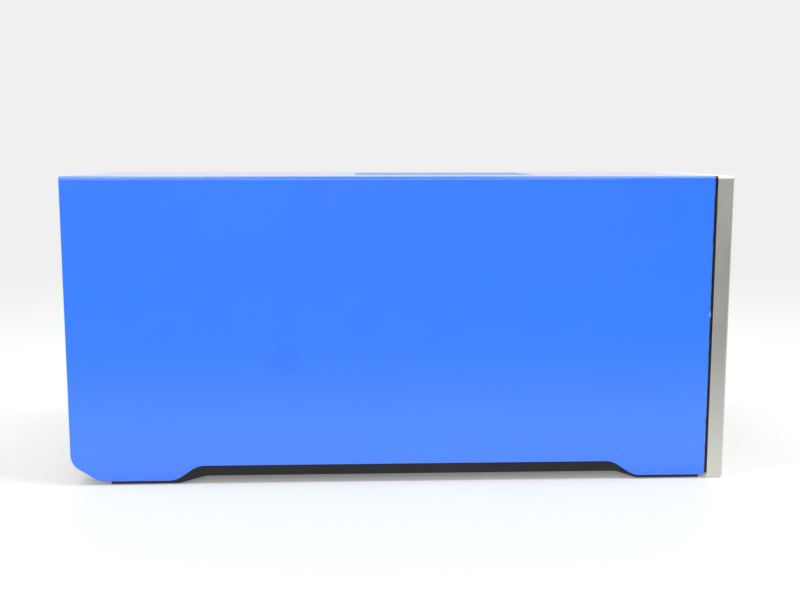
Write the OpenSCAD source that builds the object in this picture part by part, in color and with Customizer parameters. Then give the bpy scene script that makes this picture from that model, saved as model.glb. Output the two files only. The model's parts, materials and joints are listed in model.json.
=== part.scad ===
// A cased computer built round one board: a folded steel cover on a black chassis, and a bezel in front.
// X runs from the back panel to the bezel, Z is up, and the origin is under the middle of the case.

/* [Cover] */
// Length of the cover, back to front
cover_l = 450; // [446:1:470]
// Width across the cover
cover_w = 180; // [180:1:190]
// Height of the cover above the bottom of its legs
cover_h = 213.3; // [212:0.1:225]
// Thickness of the cover's sheet
cover_t = 1.2; // [1:0.1:1.4]
// Outside radius of the two long bends
bend_r = 2.4; // [2:0.1:3.5]
// Width of the flange that is turned in at the back
flange_w = 9; // [8.5:0.5:9.5]
// Height of the arch between the legs
arch_h = 10.6; // [8:0.1:13]
// Where the flat of the back leg ends, from the back
rear_leg_end = 72.7; // [60:0.1:85]
// Length of the flat of the front leg
front_leg_l = 51.4; // [40:0.1:60]
// Run of the slope between a leg and the arch
slope_run = 15.8; // [12:0.1:20]
// Radius that rounds the legs and the arch
leg_r = 16; // [8:1:20]
// Length of the cut that takes off the lower back corner
corner_l = 19.8; // [15:0.1:25]
// Height of that cut
corner_h = 12.4; // [10:0.1:14]
// Radius that rounds the cut
corner_r = 12; // [6:1:12]

/* [Top vent] */
// Length of a slot in the top
slot_l = 133; // [90:1:140]
// Distance from the back edge to the slots
slot_start = 199; // [180:1:210]
// Number of slots across the top
slot_count = 8; // [4:1:8]
// Distance from one slot to the next
slot_pitch = 15; // [13:0.5:16]
// Width of a slot
slot_w = 7; // [5:0.5:9]

/* [Chassis] */
// How far the foot pads stand below the cover's legs
foot_drop = 2.8; // [2:0.1:5]
// Thickness of the chassis sheet
sheet_t = 1.2; // [1:0.1:1.5]
// Clearance between the cover and what it slides over
slide_gap = 0.3; // [0.2:0.05:0.4]
// Height of the chassis floor's underside
floor_z = 21; // [20.5:0.5:22]
// Height of the floor's turned-up sides
floor_side_h = 12; // [8:1:20]
// Width of a foot rail
rail_w = 14; // [12:1:20]
// Where the foot rails start, from the back
rail_start = 27.4; // [25:0.1:35]
// Height of the arch in a foot rail
rail_arch_z = 5.8; // [4:0.1:7]
// How far a rubber pad stands out of its rail
pad_proud = 0.6; // [0.4:0.1:1.2]
// Depth of a pad's pocket
pad_sunk = 1.4; // [1:0.1:2]
// Width of a rubber pad
pad_w = 9; // [7:0.5:10]
// Width of a top rail's flange
top_rail_w = 12; // [11:0.5:13]
// Depth of a top rail's side
top_rail_h = 14; // [8:1:16]
// Distance from the front plate to the cover's front edge
frame_set = 4; // [3:0.5:6]
// Height of the front frame's lower edge
frame_z = 3.6; // [3.2:0.1:4.5]

/* [Bezel] */
// Gap between the cover and the bezel
bezel_gap = 1.8; // [1.5:0.1:2.5]
// Depth of the bezel
bezel_d = 11.6; // [10:0.1:12]
// Thickness of its front and its rim
bezel_t = 2.5; // [2:0.1:3]
// Radius of its upright and its upper edges
bezel_r = 2; // [1.5:0.1:2.4]
// Radius of its lower front edge
bezel_low_r = 3; // [2:0.1:3.5]
// Height of its lower edge above the table
bezel_z = 0.4; // [0.3:0.1:1.5]
// Number of slots in the grille
grille_count = 13; // [6:1:13]
// Distance from one slot to the next
grille_pitch = 9; // [8:0.5:9]
// Height of a slot
grille_slot = 4.6; // [4.2:0.1:5]
// Length of a slot
grille_l = 116; // [100:1:120]
// Length of the control panel
panel_l = 132; // [130:1:136]
// Height of the control panel
panel_h = 28; // [27:1:30]

/* [Controls] */
// Radius of the power button
power_r = 6; // [5:0.5:6]
// Travel of the power button
power_travel = 2; // [1:0.1:2.5]
// Radius of the reset button
reset_r = 2.6; // [2:0.1:3]
// Travel of the reset button
reset_travel = 1.2; // [0.8:0.1:1.5]
// Clearance round a button
button_gap = 0.3; // [0.2:0.05:0.4]
// Tilt of the mains rocker to either side
rocker_tilt = 7; // [5:0.5:9]

/* [Board] */
// Distance from the outside of the cover to the side of the square main board
board_side_gap = 5; // [4.5:0.5:8]
// Thickness of the board
board_t = 1.6; // [1.4:0.1:2]
// Height of the standoffs
standoff_h = 6.5; // [5:0.5:8]
// Distance from the back panel to the board
board_set = 3.6; // [3:0.1:5]

/* [Fans] */
// Side of the front fan
front_fan_l = 120; // [110:1:120]
// Depth of the front fan
front_fan_d = 25; // [20:1:25]
// Side of the processor fan
cpu_fan_l = 70; // [60:1:75]
// Depth of the processor fan
cpu_fan_d = 15; // [12:1:18]
// Side of the power supply's fan
psu_fan_l = 80; // [70:1:80]
// Depth of the power supply's fan
psu_fan_d = 25; // [20:1:25]

/* [Power supply and drives] */
// Width of the power supply
psu_w = 150; // [148:1:150]
// Height of the power supply
psu_h = 86; // [85:0.5:88]
// Depth of the power supply
psu_d = 140; // [120:1:150]
// Width of a drive
drive_w = 101.6; // [98:0.1:102]
// Length of a drive
drive_l = 147; // [140:1:150]
// Height of a drive
drive_h = 26.1; // [20:0.1:27]

/* [Hidden] */
$fn = 48;
eps = 0.01;

// Overall places, from the cover's back edge and from the table.
screw_r = 1.5;
screw_head_r = 2.8;
screw_head_h = 2.2;
// The cover's screws have low heads that don't show from the side.
cover_head_r = 2.4;
cover_head_h = 1.1;
total_l = cover_head_h + cover_l + bezel_gap + bezel_d;
rear_x = cover_head_h - total_l / 2;
leg_z = foot_drop;
top_z = foot_drop + cover_h;
inner_top = top_z - cover_t;
chassis_top = inner_top - slide_gap;
chassis_w = cover_w - 2 * cover_t - 2 * slide_gap;
chassis_r = bend_r - cover_t;
panel_x = cover_t;                        // outer face of the back panel
inside_x = panel_x + sheet_t;             // where the inside starts
frame_x = cover_l - frame_set;            // back face of the front plate
rim_x = cover_l + bezel_gap;              // back edge of the bezel
front_x = rim_x + bezel_d;                // front face of the bezel
floor_top = floor_z + sheet_t;

// The main board and what stands on it.
board_l = cover_w - 2 * board_side_gap;
board_x = inside_x + board_set;
board_end = board_x + board_l;
board_z = floor_top + standoff_h;
board_top = board_z + board_t;
hole_set = 10.2;
hole_dx = board_l - 15;
hole_dy = board_l - 12.6;
hole_r = 1.9;
window_w = board_l - 11.2;
window_h = 44.4;
window_z = board_z - 2.2;
shield_t = 0.8;
port_front = 1;                           // how far a port passes through the shield

// The processor cooler.
cooler_x = board_x + 52;
cooler_y = -6;
socket_h = 6;
sink_base = 5;
sink_fin_h = 34;
sink_fins = 15;
sink_fin_t = 1;
cpu_fan_z = board_top + socket_h + sink_base + sink_fin_h;

// Memory.
choke_y = 30 - board_l / 2;
chipset_x = board_end - 58;
chipset_y = board_l / 2 - 33;
dimm_l = 133.4;
dimm_h = 30;
dimm_t = 3.2;
dimm_x = board_end - 28;
dimm_pitch = 10;
dimm_socket_w = 6.4;
dimm_socket_h = 9;

// The power supply hangs from the back panel, under the top rails.
psu_top = chassis_top - sheet_t - 5.4;
psu_z = psu_top - psu_h;
psu_mid = psu_z + psu_h / 2;
psu_t = 1;
psu_screw_y = psu_w / 2 - 6;
psu_screw_z = psu_h / 2 - 6;
psu_fan_y = psu_w / 2 - 11 - psu_fan_l / 2;
psu_grille_t = 1.6;
inlet_y = 29 - psu_w / 2;
cable_z = psu_z + 22;
main_cable_y = 23 - board_l / 2;
main_socket_x = board_end - 46;
drive_cable_y = 17;
inlet_z = psu_mid + 16;
inlet_w = 27;
inlet_h = 20;
inlet_depth = 20;
rocker_z = psu_mid - 18;
rocker_w = 21;
rocker_h = 15;
rocker_pivot_x = panel_x + 1.4;
rocker_r = 1.6;
socket_flange = 2.6;

// The drives hang in a cage from the top rails.
cage_t = 1.2;
cage_flange_y = chassis_w / 2 - 5;
cage_front = frame_x - 34;
drive_x = cage_front - drive_l;
drive_top = chassis_top - sheet_t - cage_t - 6;
drive_pitch = drive_h + 2.9;
drive_hole_xs = [28.5, drive_l - 17];
drive_hole_z = drive_top - drive_h + 6.4;
cage_z = drive_top - drive_pitch - drive_h - 1;

// The front controls.
panel_z = top_z - 34;
panel_t = 2.5;
panel_face = front_x - 1.2;
frame_window_w = panel_l - 8;
frame_window_h = panel_h - 4;
io_board_z = panel_z - 9.6;
io_board_t = 1.6;
io_board_w = panel_l - 16;
io_board_x = frame_x - 28;
power_y = -46;
reset_y = -30;
switch_x = frame_x - 18;
switch_l = 8;
guide_l = 5;
guide_t = 1.6;
button_proud = 0.6;
light_y = [-20, -13];
light_r = 1.5;
usb_y = [8, 28];
usb_w = 14.4;
usb_h = 7;
usb_l = 17;
card_y = 49;
card_w = 12.4;
card_h = 2.6;
port_z = io_board_z + io_board_t;

// The grille, the filter and the front fan share one centre.
grille_z = 24 + front_fan_l / 2;
filter_l = front_fan_l + 8;
filter_t = 3.4;
front_fan_bore = front_fan_l / 2 - 3;
boss_r = 4;
boss_x = frame_x + sheet_t;
boss_y = cover_w / 2 - 12;
boss_zs = [30, top_z - 11];

// Where the cover's screws sit in its back flange.
flange_mid = cover_t + (flange_w - cover_t) / 2;
screw_y = cover_w / 2 - flange_w + cover_head_r;
screw_zs = [44, 118, 186];
top_screw_y = 42;
screw_places = concat(
    [for (z = screw_zs, s = [-1, 1]) [s * screw_y, z]],
    [for (s = [-1, 1]) [s * top_screw_y, top_z - flange_mid]]
);

// Pads, as distances from the back edge to their two ends.
rear_pad = [rail_start + 3, rear_leg_end - 2];
front_pad = [cover_l - front_leg_l + 5, frame_x - 4];

// The back panel's vents and the ports that pass through its shield.
vent_pitch = 8;
vent_count = floor((board_l - 30) / vent_pitch);
vent_z = (window_z + window_h + psu_z) / 2;
vent_h = (psu_z - window_z - window_h) * 0.55;
port_x = panel_x - port_front;            // the ports' outer faces
port_base = board_top;
usb_stack_ys = [board_l / 2 - 19, board_l / 2 - 63];
network_y = board_l / 2 - 41;
display_y = board_l / 2 - 93;
audio_y = 23 - board_l / 2;
audio_pitch = 11.4;
network_w = 16;
network_h = 13.6;
display_w = 16.4;
display_h = 6.4;
stack_gap = 0.6;

// Cables, as points in XZ.
psu_front = inside_x + psu_d;
plug_z = drive_top - drive_h + 2.8;
fork = [drive_x - 44, plug_z - 15];
main_cable_route = [
    [psu_front - 0.5, cable_z], [psu_front + 18, cable_z], [psu_front + 32, cable_z - 10],
    [psu_front + 36, cable_z - 32], [board_end - 10, board_top + 50], [board_end - 28, board_top + 40],
    [main_socket_x + 4, board_top + 30], [main_socket_x, board_top + 20], [main_socket_x, board_top + 11]
];
drive_cable_routes = [
    [[psu_front - 0.5, cable_z], [psu_front + 20, cable_z + 2], fork,
     [drive_x - 18, plug_z], [drive_x + 8, plug_z]],
    [fork, [drive_x - 18, plug_z - drive_pitch], [drive_x + 8, plug_z - drive_pitch]]
];
front_cable_route = [
    [io_board_x + 12, port_z + 0.8], [io_board_x - 2, port_z + 0.8], [io_board_x - 3, port_z - 2],
    [io_board_x - 3, cage_z], [io_board_x - 12, cage_z - 12], [drive_x + 20, cage_z - 22],
    [drive_x - 40, cage_z - 60], [board_end - 2, board_top + 30],
    [board_end - 9, board_top + 16], [board_end - 9, board_top]
];

// ---- Shared shapes ----

// Points of a closed outline whose corners [x, z, r] are rounded by their own radius.
function corner_arc(a, b, c) =
    let (
        u = (a - b) / norm(a - b),
        v = (c - b) / norm(c - b),
        half = acos(u * v) / 2
    ) [u, v, half];
function rounded_corner(p, q, s, steps = 6) =
    q[2] == 0 ? [[q[0], q[1]]] :
    let (
        a = [p[0], p[1]], b = [q[0], q[1]], c = [s[0], s[1]],
        f = corner_arc(a, b, c),
        mid = b + (f[0] + f[1]) / norm(f[0] + f[1]) * q[2] / sin(f[2]),
        from = b + f[0] * q[2] / tan(f[2]) - mid,
        to = b + f[1] * q[2] / tan(f[2]) - mid,
        start = atan2(from[1], from[0]),
        turn = atan2(from[0] * to[1] - from[1] * to[0], from * to)
    ) [for (i = [0:steps]) mid + q[2] * [cos(start + turn * i / steps), sin(start + turn * i / steps)]];
function rounded_path(path) = [
    for (i = [0:len(path) - 1])
        each rounded_corner(path[(i + len(path) - 1) % len(path)], path[i], path[(i + 1) % len(path)])
];

// Moves what is measured from the cover's back edge into the row's frame.
module from_back() {
    translate([rear_x, 0, 0]) children();
}

// A block from one corner to the opposite one.
module block(low, high) {
    translate(low) cube(high - low);
}

// A cylinder along X that starts at the given point.
module rod_x(at, r, l) {
    translate(at) rotate([0, 90, 0]) cylinder(r = r, h = l);
}

// Extrudes a flat YZ outline along X.
module along_x(x, l) {
    translate([x, 0, 0]) rotate([90, 0, 90]) linear_extrude(l) children();
}

// Extrudes a flat XZ outline along Y, from y to y + w.
module along_y(y, w) {
    translate([0, y + w, 0]) rotate([90, 0, 0]) linear_extrude(w) children();
}

// An upright outline in YZ: its two upper corners are round.
module gate(w, low, high, r) {
    union() {
        translate([-w / 2, low]) square([w, high - low - r]);
        translate([-w / 2 + r, low]) square([w - 2 * r, high - low]);
        for (s = [-1, 1]) translate([s * (w / 2 - r), high - r]) circle(r);
    }
}

// A slot with round ends, lying along the first axis.
module pill(l, w) {
    square([l - w, w], center = true);
    for (s = [-1, 1]) translate([s * (l - w) / 2, 0]) circle(w / 2);
}

// A screw along X: its head starts at x and lies towards the back.
module screw_back(x, y, z, shank, head_r = screw_head_r, head_h = screw_head_h) {
    rod_x([x - head_h, y, z], head_r, head_h);
    rod_x([x - eps, y, z], screw_r, shank + eps);
}

// A flat cable w wide from y: bands of thickness t, each through its own points in XZ.
module flat_cable(routes, y, w, t) {
    along_y(y, w) for (points = routes) {
        for (i = [0:len(points) - 2]) {
            run = points[i + 1] - points[i];
            translate(points[i]) rotate(atan2(run[1], run[0]))
                translate([0, -t / 2]) square([norm(run), t]);
        }
        for (i = [1:len(points) - 2]) translate(points[i]) circle(t / 2, $fn = 12);
    }
}

// A square fan's frame, lying on z = 0: ring, hub plate, struts and shaft.
module fan_frame(side, depth, bore) {
    hole = side / 2 - 4.5;
    hub = side * 0.17;
    plate = 3;
    difference() {
        union() {
            difference() {
                translate([-side / 2, -side / 2, 0]) cube([side, side, depth]);
                translate([0, 0, -1]) cylinder(r = bore, h = depth + 2);
            }
            cylinder(r = hub, h = plate);
            for (a = [45:90:315])
                rotate([0, 0, a]) translate([hub - 1, -2, 0]) cube([bore - hub + 2, 4, plate]);
        }
        for (sx = [-1, 1], sy = [-1, 1])
            translate([sx * hole, sy * hole, -1]) cylinder(r = 2.1, h = depth + 2);
    }
    translate([0, 0, plate - eps]) cylinder(r = 1.5, h = depth * 0.45);
}

// The rotor that turns in that frame: a hub with tilted blades, bored for the shaft.
module fan_rotor(side, depth, bore) {
    hub = side * 0.17;
    low = 4;
    high = depth - 1;
    difference() {
        union() {
            translate([0, 0, low]) cylinder(r = hub, h = high - low);
            intersection() {
                translate([0, 0, low + 0.5]) cylinder(r = bore - 1.2, h = high - low - 1);
                for (a = [0:360 / 7:359])
                    rotate([0, 0, a]) translate([hub - 1, 0, (low + high) / 2]) rotate([52, 0, 0])
                        translate([0, -depth, -0.8]) cube([bore - hub + 4, depth * 2, 1.6]);
            }
        }
        translate([0, 0, low - 1]) cylinder(r = 1.55, h = depth * 0.45 + 1);
    }
}

// ---- Cover ----

// The cover's side outline in XZ, with its legs, its arch and its cut corner.
module side_outline() {
    polygon(rounded_path([
        [0, top_z, 0],
        [0, leg_z + corner_h, corner_r],
        [corner_l, leg_z, corner_r],
        [rear_leg_end, leg_z, leg_r],
        [rear_leg_end + slope_run, leg_z + arch_h, leg_r],
        [cover_l - front_leg_l - slope_run, leg_z + arch_h, leg_r],
        [cover_l - front_leg_l, leg_z, leg_r],
        [cover_l, leg_z, 0],
        [cover_l, top_z, 0]
    ]));
}

module cover() {
    flange_low = leg_z + corner_h + corner_r;
    color([0.05, 0.2, 0.95]) from_back() difference() {
        union() {
            intersection() {
                along_x(0, cover_l) difference() {
                    gate(cover_w, 0, top_z, bend_r);
                    gate(cover_w - 2 * cover_t, -1, inner_top, bend_r - cover_t);
                }
                along_y(-cover_w, 2 * cover_w) side_outline();
            }
            along_x(0, cover_t) difference() {
                gate(cover_w - cover_t, flange_low, top_z - cover_t / 2, bend_r - cover_t / 2);
                gate(cover_w - 2 * flange_w, 0, top_z - flange_w, 2);
            }
        }
        for (i = [0:slot_count - 1])
            translate([slot_start + slot_l / 2, (i - (slot_count - 1) / 2) * slot_pitch, inner_top - 1])
                linear_extrude(cover_t + 2) pill(slot_l, slot_w);
        for (p = screw_places) rod_x([-1, p[0], p[1]], screw_r + 0.2, cover_t + 2);
    }
}

module cover_screws() {
    color([0.75, 0.75, 0.77]) from_back()
        for (p = screw_places) screw_back(0, p[0], p[1], cover_t + sheet_t + 3, cover_head_r, cover_head_h);
}

// ---- Chassis ----

module base_tray() {
    side_y = chassis_w / 2 - 1;
    color([0.06, 0.06, 0.07]) from_back() difference() {
        union() {
            block([inside_x, -side_y, floor_z], [frame_x, side_y, floor_top]);
            for (s = [-1, 1])
                block([inside_x, min(s * side_y, s * (side_y - sheet_t)), floor_z],
                      [frame_x, max(s * side_y, s * (side_y - sheet_t)), floor_top + floor_side_h]);
        }
        for (x = [0, hole_dx], s = [-1, 1])
            translate([board_x + hole_set + x, s * hole_dy / 2, floor_z - 1])
                cylinder(r = screw_r, h = sheet_t + 2);
    }
}

// A foot rail's side outline in XZ: two legs with a low arch between them.
module rail_outline() {
    polygon(rounded_path([
        [rail_start, pad_proud, 0],
        [rear_leg_end + 2.3, pad_proud, leg_r],
        [rear_leg_end + 21.3, rail_arch_z, leg_r],
        [cover_l - front_leg_l - 12.6, rail_arch_z, leg_r],
        [cover_l - front_leg_l + 2.4, pad_proud, leg_r],
        [frame_x, pad_proud, 0],
        [frame_x, floor_z, 0],
        [rail_start, floor_z, 0]
    ]));
}

// The pocket's middle line lies in the middle of the rail.
module foot_rail(side) {
    mid = side * (chassis_w - rail_w) / 2;
    color([0.05, 0.05, 0.055]) from_back() difference() {
        along_y(mid - rail_w / 2, rail_w) rail_outline();
        for (ends = [rear_pad, front_pad])
            block([ends[0], mid - pad_w / 2, -1], [ends[1], mid + pad_w / 2, pad_proud + pad_sunk]);
    }
}

module foot_rail_left() {
    foot_rail(-1);
}

module foot_rail_right() {
    foot_rail(1);
}

module foot_pads() {
    color([0.03, 0.03, 0.03]) from_back()
        for (s = [-1, 1], ends = [rear_pad, front_pad]) {
            mid = s * (chassis_w - rail_w) / 2;
            block([ends[0], mid - pad_w / 2, 0], [ends[1], mid + pad_w / 2, pad_proud + pad_sunk]);
        }
}

module top_rails() {
    half = chassis_w / 2 - chassis_r;
    color([0.06, 0.06, 0.07]) from_back() for (s = [-1, 1]) {
        block([inside_x, min(s * half, s * (half - top_rail_w)), chassis_top - sheet_t],
              [frame_x, max(s * half, s * (half - top_rail_w)), chassis_top]);
        block([inside_x, min(s * half, s * (half - sheet_t)), chassis_top - top_rail_h],
              [frame_x, max(s * half, s * (half - sheet_t)), chassis_top]);
    }
}

module rear_panel() {
    color([0.07, 0.07, 0.08]) from_back() difference() {
        along_x(panel_x, sheet_t) gate(chassis_w, floor_z, chassis_top, chassis_r);
        block([0, -window_w / 2, window_z], [panel_x + 5, window_w / 2, window_z + window_h]);
        block([0, -psu_w / 2 + 13, psu_z + 2], [panel_x + 5, psu_w / 2 - 13, psu_top - 2]);
        block([0, -psu_w / 2 + 2, psu_z + 13], [panel_x + 5, psu_w / 2 - 2, psu_top - 13]);
        for (i = [0:vent_count - 1]) along_x(0, panel_x + 5)
            translate([(i - (vent_count - 1) / 2) * vent_pitch, vent_z]) rotate(90) pill(vent_h, 4.2);
        for (sy = [-1, 1], sz = [-1, 1])
            rod_x([0, sy * psu_screw_y, psu_mid + sz * psu_screw_z], screw_r + 0.2, panel_x + 5);
        for (p = screw_places) rod_x([0, p[0], p[1]], screw_r + 0.1, panel_x + 5);
    }
}

module front_frame() {
    color([0.03, 0.03, 0.035]) from_back() difference() {
        along_x(frame_x, frame_set + bezel_gap) gate(chassis_w, frame_z, chassis_top, chassis_r);
        along_x(frame_x + sheet_t, frame_set + bezel_gap)
            gate(chassis_w - 2 * sheet_t, frame_z + sheet_t, chassis_top - sheet_t, chassis_r / 2);
        rod_x([frame_x - 1, 0, grille_z], front_fan_bore, sheet_t + 2);
        block([frame_x - 1, -frame_window_w / 2, panel_z - frame_window_h / 2],
              [frame_x + sheet_t + 1, frame_window_w / 2, panel_z + frame_window_h / 2]);
        for (s = [-1, 1], z = boss_zs) rod_x([frame_x - 1, s * boss_y, z], screw_r + 0.2, sheet_t + 2);
        for (sy = [-1, 1], sz = [-1, 1])
            rod_x([frame_x - 1, sy * (front_fan_l / 2 - 4.5), grille_z + sz * (front_fan_l / 2 - 4.5)],
                  screw_r + 0.2, sheet_t + 2);
    }
}

// ---- Bezel and controls ----

// The bezel's outer shape: three rounded outlines, one along each axis, keep what they share.
module bezel_block() {
    half = cover_w / 2;
    intersection() {
        along_x(rim_x, bezel_d) polygon(rounded_path([
            [-half, bezel_z, bezel_r], [half, bezel_z, bezel_r],
            [half, top_z, bend_r], [-half, top_z, bend_r]
        ]));
        along_y(-half - 1, cover_w + 2) polygon(rounded_path([
            [rim_x, bezel_z, 0], [front_x, bezel_z, bezel_low_r],
            [front_x, top_z, bezel_r], [rim_x, top_z, 0]
        ]));
        linear_extrude(top_z + 1) polygon(rounded_path([
            [rim_x, -half, 0], [front_x, -half, bezel_r], [front_x, half, bezel_r], [rim_x, half, 0]
        ]));
    }
}

module bezel() {
    color([0.62, 0.62, 0.6]) from_back() difference() {
        union() {
            difference() {
                bezel_block();
                block([rim_x - 1, -cover_w / 2 + bezel_t, bezel_z + bezel_t],
                      [front_x - bezel_t, cover_w / 2 - bezel_t, top_z - bezel_t]);
            }
            for (s = [-1, 1], z = boss_zs)
                rod_x([boss_x, s * boss_y, z], boss_r, front_x - bezel_t - boss_x + eps);
        }
        for (s = [-1, 1], z = boss_zs) rod_x([frame_x, s * boss_y, z], screw_r, 10);
        block([rim_x, -panel_l / 2, panel_z - panel_h / 2],
              [front_x + 1, panel_l / 2, panel_z + panel_h / 2]);
        for (i = [0:grille_count - 1]) along_x(front_x - bezel_t - 1, bezel_t + 2)
            translate([0, grille_z + (i - (grille_count - 1) / 2) * grille_pitch])
                pill(grille_l, grille_slot);
    }
}

module bezel_screws() {
    color([0.75, 0.75, 0.77]) from_back()
        for (s = [-1, 1], z = boss_zs) screw_back(frame_x, s * boss_y, z, sheet_t + 7);
}

module control_panel() {
    back = panel_face - panel_t;
    color([0.04, 0.04, 0.045]) from_back() difference() {
        union() {
            block([back, -panel_l / 2, panel_z - panel_h / 2],
                  [panel_face, panel_l / 2, panel_z + panel_h / 2]);
            for (s = [-1, 1])
                block([io_board_x + 4, s * (io_board_w / 2 - 6) - 4, io_board_z - 1.6],
                      [back + eps, s * (io_board_w / 2 - 6) + 4, io_board_z]);
            rod_x([back - guide_l, power_y, panel_z], power_r + guide_t, guide_l + eps);
            rod_x([back - guide_l, reset_y, panel_z], reset_r + guide_t, guide_l + eps);
        }
        rod_x([back - guide_l - 1, power_y, panel_z], power_r + button_gap, 20);
        rod_x([back - guide_l - 1, reset_y, panel_z], reset_r + button_gap, 20);
        for (y = light_y) rod_x([back - 1, y, panel_z], light_r, 20);
        for (y = usb_y)
            block([back - 1, y - usb_w / 2 - 0.2, port_z - 0.2],
                  [panel_face + 1, y + usb_w / 2 + 0.2, port_z + usb_h + 0.2]);
        block([back - 1, card_y - card_w / 2, port_z + 1],
              [panel_face + 1, card_y + card_w / 2, port_z + 1 + card_h]);
    }
}

// A button: a body in its guide, a shoulder behind the guide, and a stem that ends short of the switch.
module button(y, r, travel) {
    shoulder_t = 1.2;
    shoulder_x = panel_face - panel_t - guide_l - 0.3 - shoulder_t;
    stem_end = switch_x + switch_l + travel + 0.2;
    rod_x([shoulder_x, y, panel_z], r, panel_face + button_proud - shoulder_x);
    rod_x([shoulder_x, y, panel_z], r + guide_t - 0.2, shoulder_t);
    rod_x([stem_end, y, panel_z], 1.4, shoulder_x - stem_end + eps);
}

module power_button() {
    color([0.7, 0.7, 0.7]) from_back() button(power_y, power_r, power_travel);
}

module reset_button() {
    color([0.7, 0.7, 0.7]) from_back() button(reset_y, reset_r, reset_travel);
}

module status_lights() {
    start = switch_x + switch_l + 4;
    color([0.5, 0.9, 0.6]) from_back()
        for (y = light_y) rod_x([start, y, panel_z], light_r, panel_face + 0.2 - start);
}

// One socket shell, open at its front, with its tongue; it lies along +X from x.
module usb_socket(x, y, z, w, h, l) {
    difference() {
        block([x, y - w / 2, z], [x + l, y + w / 2, z + h]);
        block([x + 4, y - w / 2 + 0.6, z + 0.6], [x + l + 1, y + w / 2 - 0.6, z + h - 0.6]);
    }
    block([x + 3, y - w / 2 + 1.6, z + h - 3.2], [x + l - 2, y + w / 2 - 1.6, z + h - 1.6]);
}

module front_usb_ports() {
    color([0.75, 0.75, 0.77]) from_back()
        for (y = usb_y) usb_socket(panel_face + 0.2 - usb_l, y, port_z, usb_w, usb_h, usb_l);
}

module front_io_board() {
    color([0.05, 0.3, 0.15]) from_back() {
        block([io_board_x, -io_board_w / 2, io_board_z], [panel_face - panel_t, io_board_w / 2, port_z]);
        block([panel_face - panel_t - 16, card_y - card_w / 2 - 1, port_z],
              [panel_face - panel_t, card_y + card_w / 2 + 1, port_z + 1]);
    }
}

module front_switches() {
    color([0.1, 0.1, 0.1]) from_back() {
        for (y = [power_y, reset_y])
            block([switch_x, y - 4, port_z], [switch_x + switch_l, y + 4, panel_z + 4]);
        block([switch_x, light_y[0] - 2.5, port_z],
              [switch_x + switch_l + 4, light_y[1] + 2.5, panel_z + 2.5]);
    }
}

module dust_filter() {
    bars = 7;
    inner = filter_l / 2 - 5;
    back = front_x - bezel_t - filter_t;
    color([0.08, 0.08, 0.08]) from_back() {
        difference() {
            block([back, -filter_l / 2, grille_z - filter_l / 2],
                  [back + filter_t, filter_l / 2, grille_z + filter_l / 2]);
            block([back - 1, -inner, grille_z - inner],
                  [back + filter_t + 1, inner, grille_z + inner]);
        }
        for (i = [1:bars]) {
            at = -inner + i * 2 * inner / (bars + 1);
            block([back + 0.8, at - 0.6, grille_z - inner - eps],
                  [back + 2, at + 0.6, grille_z + inner + eps]);
            block([back + 0.8, -inner - eps, grille_z + at - 0.6],
                  [back + 2, inner + eps, grille_z + at + 0.6]);
        }
    }
}

module at_front_fan() {
    from_back() translate([frame_x - front_fan_d, 0, grille_z]) rotate([0, 90, 0]) children();
}

module front_fan_frame() {
    color([0.05, 0.05, 0.05]) at_front_fan() fan_frame(front_fan_l, front_fan_d, front_fan_bore);
}

module front_fan_rotor() {
    color([0.1, 0.1, 0.1]) at_front_fan() fan_rotor(front_fan_l, front_fan_d, front_fan_bore);
}

module front_fan_screws() {
    at = front_fan_l / 2 - 4.5;
    color([0.75, 0.75, 0.77]) from_back()
        for (sy = [-1, 1], sz = [-1, 1])
            translate([frame_x + sheet_t, sy * at, grille_z + sz * at]) mirror([1, 0, 0])
                screw_back(0, 0, 0, sheet_t + 10);
}

// ---- Drives ----

module drive_cage() {
    color([0.72, 0.72, 0.74]) from_back() for (s = [-1, 1]) difference() {
        union() {
            block([drive_x, min(s * drive_w / 2, s * (drive_w / 2 + cage_t)), cage_z],
                  [cage_front, max(s * drive_w / 2, s * (drive_w / 2 + cage_t)), chassis_top - sheet_t]);
            block([drive_x, min(s * drive_w / 2, s * cage_flange_y), chassis_top - sheet_t - cage_t],
                  [cage_front, max(s * drive_w / 2, s * cage_flange_y), chassis_top - sheet_t]);
        }
        for (x = drive_hole_xs, n = [0, 1])
            translate([drive_x + x, s * (drive_w / 2 - 2), drive_hole_z - n * drive_pitch])
                rotate([-90 * s, 0, 0]) cylinder(r = screw_r + 0.2, h = cage_t + 4);
    }
}

// A drive: a cast tray, a lid with a raised round, and side holes for its screws.
module drive(top) {
    color([0.7, 0.7, 0.72]) from_back() difference() {
        union() {
            block([drive_x, -drive_w / 2, top - drive_h],
                  [drive_x + drive_l, drive_w / 2, top - 2]);
            block([drive_x + 4, -drive_w / 2 + 3, top - 2.5],
                  [drive_x + drive_l - 3, drive_w / 2 - 3, top - 0.6]);
            translate([drive_x + drive_l - 52, 0, top - 1]) cylinder(r = 34, h = 1);
        }
        block([drive_x - 1, -drive_w / 2 + 6, top - drive_h - 1],
              [drive_x + 12, drive_w / 2 - 20, top - drive_h + 4]);
        for (x = drive_hole_xs, s = [-1, 1])
            translate([drive_x + x, s * (drive_w / 2 + 1), top - drive_h + 6.4])
                rotate([90 * s, 0, 0]) cylinder(r = screw_r, h = 8);
    }
}

module upper_drive() {
    drive(drive_top);
}

module lower_drive() {
    drive(drive_top - drive_pitch);
}

module drive_screws() {
    color([0.75, 0.75, 0.77]) from_back()
        for (x = drive_hole_xs, s = [-1, 1], n = [0, 1])
            translate([drive_x + x, s * (drive_w / 2 + cage_t), drive_hole_z - n * drive_pitch])
                rotate([90 * s, 0, 0]) {
                    translate([0, 0, -screw_head_h]) cylinder(r = screw_head_r, h = screw_head_h);
                    translate([0, 0, -eps]) cylinder(r = screw_r, h = cage_t + 4);
                }
}

// ---- Main board ----

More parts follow.
